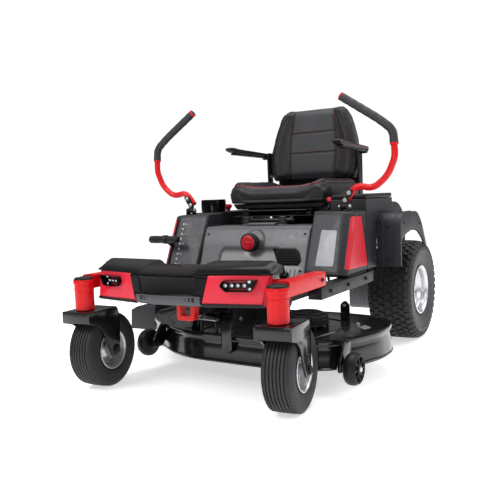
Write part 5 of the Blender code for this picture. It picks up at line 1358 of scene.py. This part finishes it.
P("deck_pressed_ribs", merge(*ribs), "deck", "deck", "deck_black", angle=50)
for side, s in SIDES:
    brk = prism([(p.x, p.y) for p in rounded([(0.035, 0.1866, 0), (0.075, 0.1866, 0), (0.075, 0.2350, 0), (0.060, 0.2500, 0), (0.050, 0.2500, 0), (0.035, 0.2350, 0)], 0.006, 4)], "Y", 0.040, 0.046, 0.001, 2)
    brk2 = prism([(p.x, p.y) for p in rounded([(-0.440, 0.1866, 0), (-0.400, 0.1866, 0), (-0.400, 0.2260, 0), (-0.412, 0.2400, 0), (-0.428, 0.2400, 0), (-0.440, 0.2260, 0)], 0.006, 4)], "X", 0.150, 0.1555, 0.001, 2)
    back = Matrix.Translation((0, 0.012 if s > 0 else 0.058, 0))
    parts = merge(moved(brk, Matrix.Translation((0.255, 0.0, 0))), moved(merge(brk2, box((0.150, -0.440, 0.1850), (0.185, -0.400, 0.1890), 0.001, 2)), back), box((0.290, 0.030, 0.1850), (0.330, 0.056, 0.1890), 0.001, 2))
    P("deck_hanger_brackets_" + side, parts if s > 0 else mirrored(parts), "deck", "deck", "deck_black")
    pins = merge(rod(0.006, "Y", (0.310, 0, 0.232), 0.034, 0.052, 28, 0.001), moved(rod(0.006, "X", (0, -0.420, 0.222), 0.145, 0.161, 28, 0.001), back))
    P("deck_hanger_pins_" + side, pins if s > 0 else mirrored(pins), "deck", "zinc", "steel")
    flip = (lambda bm: bm) if s > 0 else (lambda bm: moved(mirrored(bm), RIGHT_ROLLER))
    if s > 0:
        plate = loft([[(p.x, p.y, z) for p in rounded([(0.441, -0.150, 0), (0.478, -0.184, 0), (0.488, -0.140, 0), (0.450, -0.106, 0)], 0.005, 4)] for z in (0.1866, 0.1874)])
        P("deck_blank_plate", plate, "deck", "label", "silver", angle=30)

    web_line = rounded([(-0.448, 0.090, 0), (-0.405, 0.090, 0), (-0.348, 0.130, 0), (-0.348, 0.1880, 0), (-0.400, 0.1880, 0), (-0.448, 0.118, 0)], 0.008, 5)
    arm_bm = merge(prism([(p.x, p.y) for p in web_line], "X", 0.4792, 0.4898, 0.0015, 2), box((0.440, -0.400, 0.1800), (0.4898, -0.350, 0.1885), 0.0015, 2))
    if s < 0:
        web_line = rounded([(-0.402, 0.098, 0), (-0.352, 0.098, 0), (-0.318, 0.120, 0), (-0.318, 0.1880, 0), (-0.345, 0.1880, 0), (-0.402, 0.130, 0)], 0.008, 5)
        arm_bm = merge(prism([(p.x, p.y) for p in web_line], "X", -0.3390, -0.3280, 0.0015, 2), box((-0.3390, -0.345, 0.1800), (-0.290, -0.300, 0.1885), 0.0015, 2))
    P("roller_bracket_" + side, arm_bm, "deck", "deck", "deck_black")
    ax = merge(rod(0.0080, "X", (0, -0.425, 0.105), 0.476, 0.5555, 28, 0.0006), bolt((0.4790, -0.425, 0.105), "X", 0.0105, 0.0075, sign=-1))
    P("roller_bolt_" + side, flip(ax), "deck", "zinc" if s > 0 else "dark_bolt", "steel")
    prof = [(0.0092, 0.5020), (0.0220, 0.5020), (0.0400, 0.5040), (0.0460, 0.5065), (0.0500, 0.5100), (0.0525, 0.5145), (0.0543, 0.5200), (0.0550, 0.5275), (0.0543, 0.5350), (0.0525, 0.5405), (0.0500, 0.5445), (0.0478, 0.5490), (0.0455, 0.5503),
            (0.0435, 0.5500), (0.0418, 0.5480), (0.0405, 0.5400), (0.0180, 0.5395), (0.0170, 0.5420), (0.0165, 0.5500), (0.0155, 0.5520), (0.0092, 0.5520)]
    wheel = turn(prof, "X", (0, -0.425, 0.105), 88)
    P("gauge_roller_wheel_" + side, flip(wheel), "roller_" + side, "trim", "tyre", ["gauge_roller_" + side], angle=32)
    spokes = [moved(box((0.5385, -0.0022, 0.0160), (0.5490, 0.0022, 0.0425), 0.0010, 2), Matrix.Translation((0, -0.425, 0.105)) @ Matrix.Rotation(2 * math.pi * i / 8, 4, "X")) for i in range(8)]
    spokes = merge(*spokes)
    P("gauge_roller_spokes_" + side, flip(spokes), "roller_" + side, "trim", "tyre")

    sx, sy = abs(SPINDLE[s][0]), SPINDLE[s][1]
    pul = turn([(0, 0.2055), (0.0650, 0.2055), (0.0660, 0.2065), (0.0655, 0.2085), (0.0530, 0.2130), (0.0530, 0.2160), (0.0655, 0.2205), (0.0660, 0.2225), (0.0650, 0.2232), (0.0560, 0.2232), (0.0500, 0.2180), (0.0250, 0.2180), (0.0220, 0.2260), (0, 0.2260)], "Z", (sx, sy, 0), 80)
    P("spindle_pulley_" + side, pul if s > 0 else mirrored(pul), "blade_" + side, "dark_bolt", "steel", ["blade_spindle_" + side], angle=32)
    shaft = merge(rod(0.0125, "Z", (sx, sy, 0), 0.100, 0.2340, 40, 0.001), bolt((sx, sy, 0.2330), "Z", 0.0120, 0.0065), bolt((sx, sy, 0.1030), "Z", 0.0120, 0.0080, sign=-1), *[rod(0.0060, "Z", (sx + 0.036 * math.cos(a), sy + 0.036 * math.sin(a), 0), 0.2170, 0.2188, 24, 0.0006) for a in np.linspace(0, 2 * math.pi, 6)[:-1]])
    P("spindle_shaft_" + side, shaft if s > 0 else mirrored(shaft), "blade_" + side, "zinc", "steel")
    rings = []
    for i in range(29):
        t = -1 + 2 * i / 28
        x = sx + t * 0.2425
        k = 1 if t > 0 else -1
        wing = smooth(0.60, 0.78, abs(t))
        sharp = smooth(0.45, 0.55, abs(t))
        ring = []
        for y, z0, z1 in ((-0.028, 0.1030, 0.1080), (-0.012, 0.1030, 0.1080), (0.012, 0.1030, 0.1080), (0.028, 0.1030, 0.1080)):
            up = wing * 0.0150 * smooth(0.010, 0.028, y * k)
            thin = sharp * 0.0020 * smooth(0.012, 0.028, -y * k)
            ring.append(((y, z0 + up + thin * 0.2), (y, z1 + up - thin)))
        rings.append([(x, sy + p[0][0], p[0][1]) for p in ring] + [(x, sy + p[1][0], p[1][1]) for p in reversed(ring)])
    blade = loft(rings)
    P("cutting_blade_" + side, blade if s > 0 else mirrored(blade), "blade_" + side, "steel", "steel", angle=28)

# round stepped cover over each spindle pulley
for side, s in SIDES:
    at = Vector((*SPINDLE[s], 0))
    cov = turn([(0, 0.2478), (0.0240, 0.2478), (0.0260, 0.2492), (0.0300, 0.2492), (0.0320, 0.2478), (0.0520, 0.2470), (0.0560, 0.2455), (0.0575, 0.2425), (0.0590, 0.2400), (0.0720, 0.2392), (0.0765, 0.2372), (0.0785, 0.2335), (0.0790, 0.2060),
                (0.0820, 0.2035), (0.0840, 0.2030), (0.0845, 0.2010), (0.0835, 0.1998), (0.0790, 0.1998), (0.0765, 0.2040), (0.0760, 0.2320), (0.0700, 0.2368), (0.0560, 0.2380), (0.0520, 0.2440), (0, 0.2440)], "Z", at, 96)
    ribs = [moved(box((0.0780, -0.0018, 0.2075), (0.0806, 0.0018, 0.2330), 0.0008, 2), Matrix.Translation(at) @ Matrix.Rotation(2 * math.pi * i / 36, 4, "Z")) for i in range(36)]
    feet = [moved(box((0.0790, -0.006, 0.1860), (0.0850, 0.006, 0.2020), 0.001, 2), Matrix.Translation(at) @ Matrix.Rotation(2 * math.pi * (i + 0.5) / 4, 4, "Z")) for i in range(4)]
    P("pulley_cover_" + side, merge(cov, *ribs, *feet), "deck", "trim", "deck_black", angle=34)

# front hanger on the deck's front wall and two pale flat bars lying on the deck top behind it
hanger = merge(prism([(p.x, p.y) for p in rounded([(0.036, 0.128, 0), (0.050, 0.120, 0), (0.080, 0.138, 0), (0.080, 0.238, 0), (0.036, 0.238, 0)], 0.006, 4)], "Y", -0.4690, -0.4648, 0.001, 2),
               box((0.036, -0.4690, 0.150), (0.0405, -0.4250, 0.2380), 0.001, 2), box((0.036, -0.4620, 0.1850), (0.085, -0.4250, 0.1900), 0.001, 2))
P("deck_front_hanger", hanger, "deck", "deck", "deck_black")
pale_bars = []
for a, b in (((-0.135, -0.372), (0.000, -0.435)), ((-0.083, -0.432), (0.010, -0.447))):
    a, b = Vector((*a, 0)), Vector((*b, 0))
    n = Vector((-(b - a).y, (b - a).x, 0)).normalized() * 0.011
    pale_bars.append(prism([(p.x, p.y) for p in rounded([a - n, b - n, b + n, a + n], 0.006, 4)], "Z", 0.2380, 0.2420, 0.0008, 2))
P("deck_front_pale_bars", merge(*pale_bars), "deck", "strap", "steel")
P("deck_pale_bar_posts", merge(*[rod(0.006, "Z", (x, y, 0), 0.1860, 0.2450, 28, 0.001) for x, y in ((-0.125, -0.3767), (-0.073, -0.4300), (-0.008, -0.4315))]), "deck", "black", "frame_black")

# ------------------------------------------------------------------ discharge deflector
def deflector():
    out = hull([(-0.5482, y, z) for y in (-0.112, 0.066) for z in (0.098, 0.2060)] + [(-0.6000, y, 0.2060) for y in (-0.112, 0.066)]
               + [(-0.700, y, 0.184) for y in (-0.100, 0.054)] + [(-0.706, y, 0.094) for y in (-0.100, 0.054)] + [(-0.660, y, 0.200) for y in (-0.108, 0.062)], 0.0050, 4)
    inner = hull([(-0.520, y, z) for y in (-0.102, 0.056) for z in (0.060, 0.1945)] + [(-0.600, y, 0.1945) for y in (-0.102, 0.056)]
                 + [(-0.660, y, 0.189) for y in (-0.098, 0.052)] + [(-0.690, y, 0.176) for y in (-0.090, 0.044)] + [(-0.696, y, 0.060) for y in (-0.090, 0.044)])
    return cut(out, inner)


P("deflector_shell", deflector(), "chute", "charcoal", "charcoal", ["discharge_chute"], angle=34)
P("deflector_ribs", merge(*[tube([(-0.556, y, 0.2063), (-0.600, y, 0.2063), (-0.655, y * 1.0, 0.2016), (-0.692, y * 0.98, 0.1900)], 0.0022, 10, cap=0.001) for y in (-0.080, -0.050, -0.020, 0.010, 0.038)]), "chute", "charcoal", "charcoal")
P("deflector_hinge", merge(tube([(-0.5535, -0.105, 0.2090), (-0.5535, 0.060, 0.2090)], 0.0042, 20, cap=0.001), *[box((-0.5720, y, 0.2055), (-0.5510, y + 0.022, 0.2078), 0.0006, 2) for y in (-0.095, -0.034, 0.026)]), "chute", "dark_bolt", "steel")

# ------------------------------------------------------------------ seat
def lean(z):
    return 0.405 + 0.150 * (z - 0.700)


plate = box((-0.190, 0.012, 0.6000), (0.190, 0.462, 0.6040), 0.0012, 2)
flange = box((-0.190, 0.0120, 0.5860), (0.190, 0.0150, 0.6030), 0.0010, 2)
lugs = [prism([(-0.008, 0.580), (0.008, 0.580), (0.024, 0.6035), (0.012, 0.6035)], "X", s - 0.006, s + 0.006, 0.001, 2) for s in (-0.095, 0.095)]
P("seat_plate_pressing", merge(plate, *lugs, *[tube([(s * 0.06, 0.06, 0.6042), (s * 0.06, 0.42, 0.6042)], 0.003, 12, cap=0.002) for s in (-1, 1)]), "seat_frame", "black", "frame_black", ["seat_plate"])
P("seat_hinge_pin", merge(rod(0.009, "X", (0, 0, 0.585), -0.108, 0.108, 40, 0.001), *[bolt((s * 0.1078, 0, 0.585), "X", 0.0090, 0.0050, sign=s) for s in (-1, 1)]), "seat_frame", "dark_bolt", "steel")
runner = []
for s in (-0.150, 0.150):
    runner.append(box((s - 0.0110, 0.060, 0.6038), (s + 0.0110, 0.440, 0.6180), 0.0018, 3))
P("seat_runner_lower", merge(*runner), "seat_frame", "dark_bolt", "steel")
runner = [box((s - 0.0085, 0.072, 0.6185), (s + 0.0085, 0.452, 0.6312), 0.0018, 3) for s in (-0.150, 0.150)]
P("seat_runner_upper", merge(*runner, tube(rounded([(-0.150, 0.095, 0.6245), (-0.150, 0.050, 0.6245), (0.150, 0.050, 0.6245), (0.150, 0.095, 0.6245)], 0.012, 6, closed=False), 0.0042, 14)), "seat", "dark_bolt", "steel")


def coil(x, y, z0, z1, r=0.016, wire=0.0024, turns=5):
    return tube([(x + r * math.cos(2 * math.pi * turns * t), y + r * math.sin(2 * math.pi * turns * t), z0 + (z1 - z0) * t) for t in np.linspace(0, 1, 20 * turns + 1)], wire, 8)


P("seat_springs", merge(*[coil(x, -0.052, 0.5695, 0.6020) for x in (-0.085, 0.085)]), "chassis", "spring", "steel")
P("seat_spring_cups", merge(*[turn([(0, 0.5664), (0.021, 0.5664), (0.0215, 0.5690), (0.0200, 0.5715), (0.0100, 0.5715), (0.0090, 0.5780), (0, 0.5780)], "Z", (x, -0.052, 0), 40) for x in (-0.085, 0.085)],
                            box((-0.065, -0.080, 0.5664), (0.065, -0.030, 0.5780), 0.004, 3)), "chassis", "grey", "grey_panel")

pan = hull([(s * 0.205, 0.070, 0.6315) for s in (-1, 1)] + [(s * 0.225, 0.070, 0.6555) for s in (-1, 1)] + [(s * 0.205, 0.500, 0.6315) for s in (-1, 1)] + [(s * 0.222, 0.500, 0.6555) for s in (-1, 1)], 0.005, 3)
cross = box((-0.2385, 0.425, 0.6320), (0.2385, 0.475, 0.6560), 0.003, 3)
P("seat_pan_pressing", merge(pan, cross), "seat", "trim", "tank_black", ["seat_pan"])
back_rings = []
for z in np.linspace(0.640, 1.080, 45):
    w = at_y([(0.640, 0.205), (0.800, 0.214), (0.860, 0.212), (0.960, 0.188), (1.040, 0.158), (1.080, 0.128)], z)
    d = 0.0040 * smooth(1.06, 1.08, z)
    rib = 0.0015 * math.cos(2 * math.pi * (z - 0.70) / 0.045) if 0.74 < z < 1.0 else 0.0
    ring = []
    for u in np.linspace(-1, 1, 33):
        ring.append((u * w, lean(z) + 0.0965 - 0.010 * abs(u) ** 6 - d + (rib if abs(u) < 0.72 else 0.0) - (0.0012 if abs(u) < 0.72 else 0.0), z))
    for u in np.linspace(1, -1, 33):
        ring.append((u * w * 0.985, lean(z) + 0.0765, z))
    back_rings.append(ring)
P("seat_back_shell", loft(back_rings), "seat", "trim", "tank_black", angle=40)
ups = []
for s in (-1, 1):
    line_u = rounded([(0.430, 0.6400, 0), (0.472, 0.6400, 0), (0.474, 0.860, 0), (0.468, 0.8970, 0), (0.434, 0.8970, 0), (0.428, 0.860, 0)], 0.010, 5)
    ups.append(prism([(p.x, p.y) for p in line_u], "X", min(s * 0.2303, s * 0.2384), max(s * 0.2303, s * 0.2384), 0.0015, 2))
P("armrest_uprights", merge(*ups), "seat", "black", "frame_black")
P("armrest_upright_bolts", merge(*[bolt((s * 0.2303, y, z), "X", 0.0065, 0.005, sign=-s) for s in (-1, 1) for y, z in ((0.450, 0.700), (0.450, 0.780))]), "seat", "zinc", "steel")


# padded parts: a grid skin is swelled under pressure, then its seams are drawn in
def grid_form(name, top, bottom, nu, nv):
    """A closed pillow between two functions of (u, v) in -1..1 that give points."""
    bm = bmesh.new()
    us, vs = np.linspace(-1, 1, nu), np.linspace(-1, 1, nv)
    a = [[bm.verts.new(top(u, v)) for u in us] for v in vs]
    b = [[bm.verts.new(bottom(u, v)) for u in us] for v in vs]
    for i in range(nv - 1):
        for j in range(nu - 1):
            bm.faces.new((a[i][j], a[i][j + 1], a[i + 1][j + 1], a[i + 1][j]))
            bm.faces.new((b[i][j], b[i + 1][j], b[i + 1][j + 1], b[i][j + 1]))
    edge_a = a[0][:] + [r[-1] for r in a[1:]] + a[-1][-2::-1] + [r[0] for r in a[-2:0:-1]]
    edge_b = b[0][:] + [r[-1] for r in b[1:]] + b[-1][-2::-1] + [r[0] for r in b[-2:0:-1]]
    m = len(edge_a)
    for i in range(m):
        j = (i + 1) % m
        bm.faces.new((edge_a[i], edge_b[i], edge_b[j], edge_a[j]))
    clean(bm, 1e-5)
    return bm


def swell(bm, name, voxel, cap, pressure=4.0, frames=20, hold=None):
    """Remesh a form, blow it up a little as cloth, and return the mesh. The swelling is capped."""
    ob = as_object(bm, name)
    rm = ob.modifiers.new("remesh", "REMESH")
    rm.mode, rm.voxel_size = "VOXEL", voxel
    bpy.context.view_layer.update()
    mesh = bpy.data.meshes.new_from_object(ob.evaluated_get(bpy.context.evaluated_depsgraph_get()))
    old = ob.data
    ob.modifiers.clear()
    ob.data = mesh
    bpy.data.meshes.remove(old)
    co = np.zeros(len(mesh.vertices) * 3)
    mesh.vertices.foreach_get("co", co)
    rest = co.reshape(-1, 3).copy()
    cloth = ob.modifiers.new("cloth", "CLOTH")
    s = cloth.settings
    s.quality = 5
    s.mass = 0.25
    s.tension_stiffness = s.compression_stiffness = 18
    s.shear_stiffness = 6
    s.bending_stiffness = 1.0
    s.use_pressure = True
    s.uniform_pressure_force = pressure
    s.effector_weights.gravity = 0.0
    cloth.collision_settings.use_collision = False
    cloth.point_cache.frame_start, cloth.point_cache.frame_end = 1, frames
    if hold is not None:
        g = ob.vertex_groups.new(name="hold")
        for i, p in enumerate(rest):
            w = hold(p)
            if w > 0:
                g.add([i], w, "REPLACE")
        s.vertex_group_mass = "hold"
    for f in range(1, frames + 1):
        bpy.context.scene.frame_set(f)
    got = ob.evaluated_get(bpy.context.evaluated_depsgraph_get()).to_mesh()
    new = np.zeros(len(got.vertices) * 3)
    got.vertices.foreach_get("co", new)
    new = new.reshape(-1, 3)
    bpy.context.scene.frame_set(1)
    move = new - rest
    size = np.linalg.norm(move, axis=1)
    move *= np.minimum(1.0, cap / np.maximum(size, 1e-9))[:, None]
    verts = rest + move
    faces = [tuple(p.vertices) for p in mesh.polygons]
    bpy.data.objects.remove(ob, do_unlink=True)
    bpy.data.meshes.remove(mesh)
    out = bmesh.new()
    vs = [out.verts.new(p) for p in verts]
    for f in faces:
        out.faces.new([vs[i] for i in f])
    bmesh.ops.smooth_vert(out, verts=out.verts, factor=0.5, use_axis_x=True, use_axis_y=True, use_axis_z=True)
    bmesh.ops.smooth_vert(out, verts=out.verts, factor=0.5, use_axis_x=True, use_axis_y=True, use_axis_z=True)
    bmesh.ops.subdivide_edges(out, edges=out.edges, cuts=1, use_grid_fill=True, smooth=0.0)
    bmesh.ops.smooth_vert(out, verts=out.verts, factor=0.4, use_axis_x=True, use_axis_y=True, use_axis_z=True)
    return out


def press(bm, depth_at):
    """Draw seams in along the surface normal."""
    bm.normal_update()
    shift = [(v, v.normal * -depth_at(v.co, v.normal)) for v in bm.verts]
    for v, d in shift:
        v.co += d
    bmesh.ops.smooth_vert(bm, verts=bm.verts, factor=0.15, use_axis_x=True, use_axis_y=True, use_axis_z=True)


def seam(d, width=0.0035, depth=0.0034):
    return depth * math.exp(-(d / width) ** 2)


# ---- seat cushion
def cushion_top(u, v):
    """u across, v from front (-1) to back (1)."""
    x = u * 0.231
    y = 0.046 + (v + 1) / 2 * 0.406
    side = smooth(0.62, 0.90, abs(u))
    z = 0.7330 + 0.0150 * side
    z -= 0.026 * smooth(0.80, 1.0, abs(u)) ** 2
    z -= 0.022 * smooth(-0.70, -1.0, v) ** 2
    z -= 0.010 * smooth(0.7, 1.0, v)
    z -= 0.008 * (1 - side) * math.cos(math.pi * v * 0.42) ** 2
    round_front = 0.020 * smooth(0.55, 1.0, abs(u)) * smooth(-0.5, -1.0, v)
    narrow = 1 - 0.045 * smooth(-0.75, -1.0, v) - 0.05 * smooth(0.82, 1.0, v)
    return (x * narrow, y + round_front, z - 0.010 * (1 - smooth(0.40, 0.80, abs(u))))


def cushion_bottom(u, v):
    x = u * 0.2190
    y = 0.054 + (v + 1) / 2 * 0.398
    narrow = 1 - 0.03 * smooth(-0.8, -1.0, v)
    return (x * narrow, y + 0.016 * smooth(0.6, 1.0, abs(u)) * smooth(-0.6, -1.0, v), 0.6615)


def hold_bottom(p):
    return 1.0 if p[2] < 0.664 else 0.0


def spread(bm, low, high):
    """Fill a stated box with a soft shape."""
    for k in range(3):
        a, b = min(v.co[k] for v in bm.verts), max(v.co[k] for v in bm.verts)
        for v in bm.verts:
            v.co[k] = low[k] + (v.co[k] - a) * (high[k] - low[k]) / (b - a)


cush = swell(grid_form("cushion", cushion_top, cushion_bottom, 41, 41), "cushion", 0.0050, 0.0060, hold=hold_bottom)
spread(cush, (-0.2400, 0.0370, 0.6570), (0.2400, 0.4600, 0.7535))
CUSH_SIDE = 0.158


def cushion_depth(p, n):
    x, y, z = p
    d = 0.0
    if n.z > 0.25:
        if 0.062 < y:
            d += seam(abs(abs(x) - CUSH_SIDE), 0.0040, 0.0046) * smooth(0.062, 0.080, y)
        for yy in (0.118, 0.205, 0.292, 0.379):
            if abs(x) < CUSH_SIDE:
                d += seam(y - yy, 0.0034, 0.0024)
    if n.z < 0.75:
        edge = 0.7235 + 0.012 * smooth(0.11, 0.20, abs(x))
        if y < 0.12 or abs(x) > 0.19:
            d += seam(z - edge, 0.0030, 0.0022)
            d += seam(z - 0.6720, 0.0030, 0.0016)
    return d


press(cush, cushion_depth)
for v in cush.verts:
    v.co.z = max(v.co.z, 0.6572)
cushion_tree = BVHTree.FromBMesh(cush)
for f in cush.faces:
    c = f.calc_center_median()
    f.normal_update()
    if f.normal.z > 0.3 and abs(c.x) < CUSH_SIDE - 0.001 and c.y > 0.062:
        f.material_index = 1
cushion = P("seat_cushion_cover", cush, "seat", ["vinyl", "vinyl_mid"], "vinyl", ["seat_cushion"], angle=80, fix=False)


# ---- backrest
def back_width(z):
    return at_y([(0.758, 0.198), (0.800, 0.212), (0.840, 0.2185), (0.890, 0.2165), (0.950, 0.203), (1.000, 0.188), (1.040, 0.173), (1.066, 0.158), (1.084, 0.137)], z)


def back_front(u, v):
    z = 0.760 + (v + 1) / 2 * 0.324
    w = back_width(z)
    wing = smooth(0.58, 0.84, abs(u))
    y = lean(z) + 0.0165 - 0.0130 * wing + 0.020 * smooth(0.84, 1.0, abs(u)) ** 2 + 0.017 * smooth(0.80, 1.0, v) ** 2 + 0.010 * smooth(-0.85, -1.0, v)
    y -= 0.0030 * math.cos(math.pi * u / 1.3) ** 2 * math.cos(math.pi * v / 2)
    return (u * w, y, z)


def back_rear(u, v):
    z = 0.760 + (v + 1) / 2 * 0.324
    w = back_width(z) * 0.985
    return (u * w, lean(z) + 0.070 - 0.008 * smooth(0.8, 1.0, abs(u)) - 0.010 * smooth(0.8, 1.0, v), z)


def hold_back(p):
    return 1.0 if p[1] > lean(p[2]) + 0.066 else 0.0


back = swell(grid_form("back", back_front, back_rear, 41, 33), "back", 0.0050, 0.0060, hold=hold_back)


def panel_x(z):
    """Half width of the backrest's centre panel."""
    return at_y([(0.76, 0.112), (0.90, 0.118), (0.98, 0.112), (1.09, 0.098)], z)


back_y = [v.co.y for v in back.verts]
spread(back, (-0.2275, min(back_y) - 0.001, 0.7540), (0.2275, max(back_y), 1.0935))
SECTIONS = (0.8830, 0.9790)


def back_depth(p, n):
    x, y, z = p
    d = 0.0
    if n.y < -0.25:
        if z < 1.075:
            d += seam(abs(abs(x) - panel_x(z)), 0.0045, 0.0056)
        if abs(x) < panel_x(z):
            for zz in SECTIONS:
                d += seam(z - zz, 0.0042, 0.0052)
        w = back_width(min(max(z, 0.76), 1.084)) - 0.030
        if 0.775 < z < 1.055:
            d += seam(abs(abs(x) - w), 0.0026, 0.0018)
    if abs(n.y) < 0.6:
        d += seam(y - lean(z) - 0.040, 0.0030, 0.0022)
    return d


press(back, back_depth)
for v in back.verts:
    v.co.y = min(v.co.y, lean(v.co.z) + 0.0745)
    v.co.z = max(v.co.z, 0.7560)
back_tree = BVHTree.FromBMesh(back)
for f in back.faces:
    c = f.calc_center_median()
    f.normal_update()
    if f.normal.y < -0.3 and abs(c.x) < panel_x(c.z) - 0.001:
        f.material_index = 1
backrest = P("seat_back_cover", back, "seat", ["vinyl", "vinyl_mid"], "vinyl", ["seat_back"], angle=80, fix=False)


def stitches(points, tree, direction, pitch=0.0062, length=0.0042, r=0.00075, lift=0.0003):
    """Thread bars along a line, laid on the cover."""
    d = Vector(direction).normalized()
    line = [Vector(p) for p in points]
    out, carry = [], 0.0
    for a, b in zip(line, line[1:]):
        run = (b - a).length
        t = carry
        while t < run:
            p, q = a.lerp(b, t / run), a.lerp(b, min(1.0, (t + length) / run))
            hits = []
            for c in (p, (p + q) / 2, q):
                loc, nor, _, _ = tree.ray_cast(c - d * 0.15, d)
                if loc is None:
                    break
                hits.append(loc + nor.normalized() * lift)
            if len(hits) == 3 and (hits[2] - hits[0]).length < length * 2.5:
                out.append(tube(hits, [r * 0.6, r, r * 0.6], 6))
            t += pitch
        carry = t - run
    return out


thread = []
ys = np.linspace(0.078, 0.425, 30)
for s in (-1, 1):
    for off in (-0.0062, 0.0062):
        thread += stitches([(s * (CUSH_SIDE + off), y, 0.74) for y in ys], cushion_tree, (0, 0, -1))
front_line = [(x, 0.0, 0.7285 + 0.012 * smooth(0.11, 0.20, abs(x))) for x in np.linspace(-0.196, 0.196, 60)]
thread += stitches(front_line, cushion_tree, (0, 1, 0), r=0.0010)
for s in (-1, 1):
    thread += stitches([(s * 0.30, y, 0.7400) for y in np.linspace(0.085, 0.420, 40)], cushion_tree, (-s, 0, 0), r=0.0009)
P("cushion_stitching", quick_merge(thread), "seat", "thread", "vinyl", angle=60)
# fine piping along the cushion's front top edge
pipe = []
for x in np.linspace(-0.205, 0.205, 90):
    z = 0.7245 + 0.012 * smooth(0.11, 0.20, abs(x))
    loc, nor, _, _ = cushion_tree.ray_cast(Vector((x, -0.10, z)), Vector((0, 1, 0)))
    if loc is not None:
        pipe.append(loc + nor * 0.0004)
P("cushion_piping", tube(pipe, 0.0015, 10, cap=0.0006), "seat", "thread", "vinyl", angle=60)

thread = []
zs = np.linspace(0.785, 1.060, 40)
for s in (-1, 1):
    thread += stitches([(s * (panel_x(z) + 0.0065), lean(z), z) for z in zs], back_tree, (0, 1, 0))
    thread += stitches([(s * (back_width(z) - 0.0365), lean(z), z) for z in zs], back_tree, (0, 1, 0), r=0.0010)
for zz in SECTIONS:
    thread += stitches([(x, lean(zz), zz + 0.0075) for x in np.linspace(-0.105, 0.105, 20)], back_tree, (0, 1, 0), r=0.0006)
P("backrest_stitching", quick_merge(thread), "seat", "thread", "vinyl", angle=60)


# ---- armrests: a rigid hinged arm under a soft pad with a raised nose
def arm_pad():
    rings = []
    for t in np.linspace(0, 1, 48):
        y = 0.1085 + t * 0.345
        top = at_y([(0, 0.9135), (0.14, 0.9100), (0.22, 0.9070), (1.0, 0.8955)], t)
        low = at_y([(0, 0.8950), (0.14, 0.8860), (0.2, 0.8840), (1.0, 0.8790)], t)
        e = min(1.0, math.sin(math.pi * min(t, 0.06) / 0.12) ** 0.6 if t < 0.06 else 1.0)
        e = min(e, math.sin(math.pi * min(1 - t, 0.05) / 0.10) ** 0.6 if t > 0.95 else 1.0)
        e = max(e, 0.25)
        cx, cz, hx, hz = 0.2608, (top + low) / 2, 0.0205 * (0.75 + 0.25 * e), (top - low) / 2 * e
        ring = []
        for k in range(28):
            a = 2 * math.pi * k / 28
            ca, sa = math.cos(a), math.sin(a)
            ring.append((cx + hx * math.copysign(abs(ca) ** 0.55, ca), y, cz + hz * math.copysign(abs(sa) ** 0.62, sa)))
        rings.append(ring)
    return loft(rings)


for ob in both("armrest_pad_{}", arm_pad, "arm_{}", "vinyl", "vinyl", ["armrest_{}"], angle=60):
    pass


def arm_frame():
    under = hull([(x, y, z) for x in (0.2480, 0.2740) for y, z in ((0.150, 0.8790), (0.150, 0.8860), (0.452, 0.8720), (0.452, 0.8820))], 0.0015, 2)
    boss = turn([(0, 0.2390), (0.0150, 0.2390), (0.0160, 0.2400), (0.0160, 0.2680), (0.0150, 0.2690), (0, 0.2690)], "X", (0, 0.450, 0.880), 48)
    return merge(under, boss, bolt((0.2690, 0.450, 0.880), "X", 0.0075, 0.0055))


both("armrest_frame_{}", arm_frame, "arm_{}", "black", "frame_black")
both("armrest_seam_{}", lambda: merge(tube([(0.2608 + 0.0200, 0.120 + t * 0.325, at_y([(0, 0.9040), (0.2, 0.8950), (1, 0.8872)], t)) for t in np.linspace(0, 1, 30)], 0.0008, 6)), "arm_{}", "thread", "vinyl")

P("seat_base_rear_plate", merge(box((-0.205, 0.3960, 0.5480), (0.205, 0.4000, 0.5920), 0.0012, 2)), "chassis", "trim", "charcoal")
P("seat_plate_rear_web", merge(box((-0.1380, 0.4340, 0.6035), (0.1380, 0.4380, 0.6255), 0.0012, 2)), "seat_frame", "trim", "frame_black")

# ------------------------------------------------------------------ rods and brackets seen under the consoles
links = []
for s in (-1, 1):
    links.append(tube(rounded([(s * 0.330, -0.030, 0.385), (s * 0.332, 0.120, 0.350), (s * 0.300, 0.300, 0.318), (s * 0.272, 0.470, 0.285)], 0.05, 8, closed=False), 0.0045, 16))
    links.append(tube([(s * 0.300, -0.10, 0.384), (s * 0.300, -0.09, 0.352)], 0.0055, 16))
P("control_rods", merge(*links), "chassis", "dark_bolt", "steel")
P("frame_gussets", merge(*[prism([(p.x, p.y) for p in rounded([(-0.200, 0.3500, 0), (-0.130, 0.3500, 0), (-0.130, 0.3835, 0), (-0.190, 0.3835, 0)], 0.004, 3)], "X", min(s * 0.3765, s * 0.3825), max(s * 0.3765, s * 0.3825), 0.001, 2) for s in (-1, 1)]), "chassis", "red", "frame_red")
P("console_underside", merge(*[box((min(s * 0.254, s * 0.4185), -0.185, 0.3765), (max(s * 0.254, s * 0.4185), 0.015, 0.3836), 0.002, 2) for s in (-1, 1)]), "chassis", "trim", "charcoal")

for node, ob in NODES.items():
    if not ob.hide_render and not any(m and m.name.startswith(("powder", "paint")) for m in ob.data.materials):
        refine(node, "trim", 0.0015)

lo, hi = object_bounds()
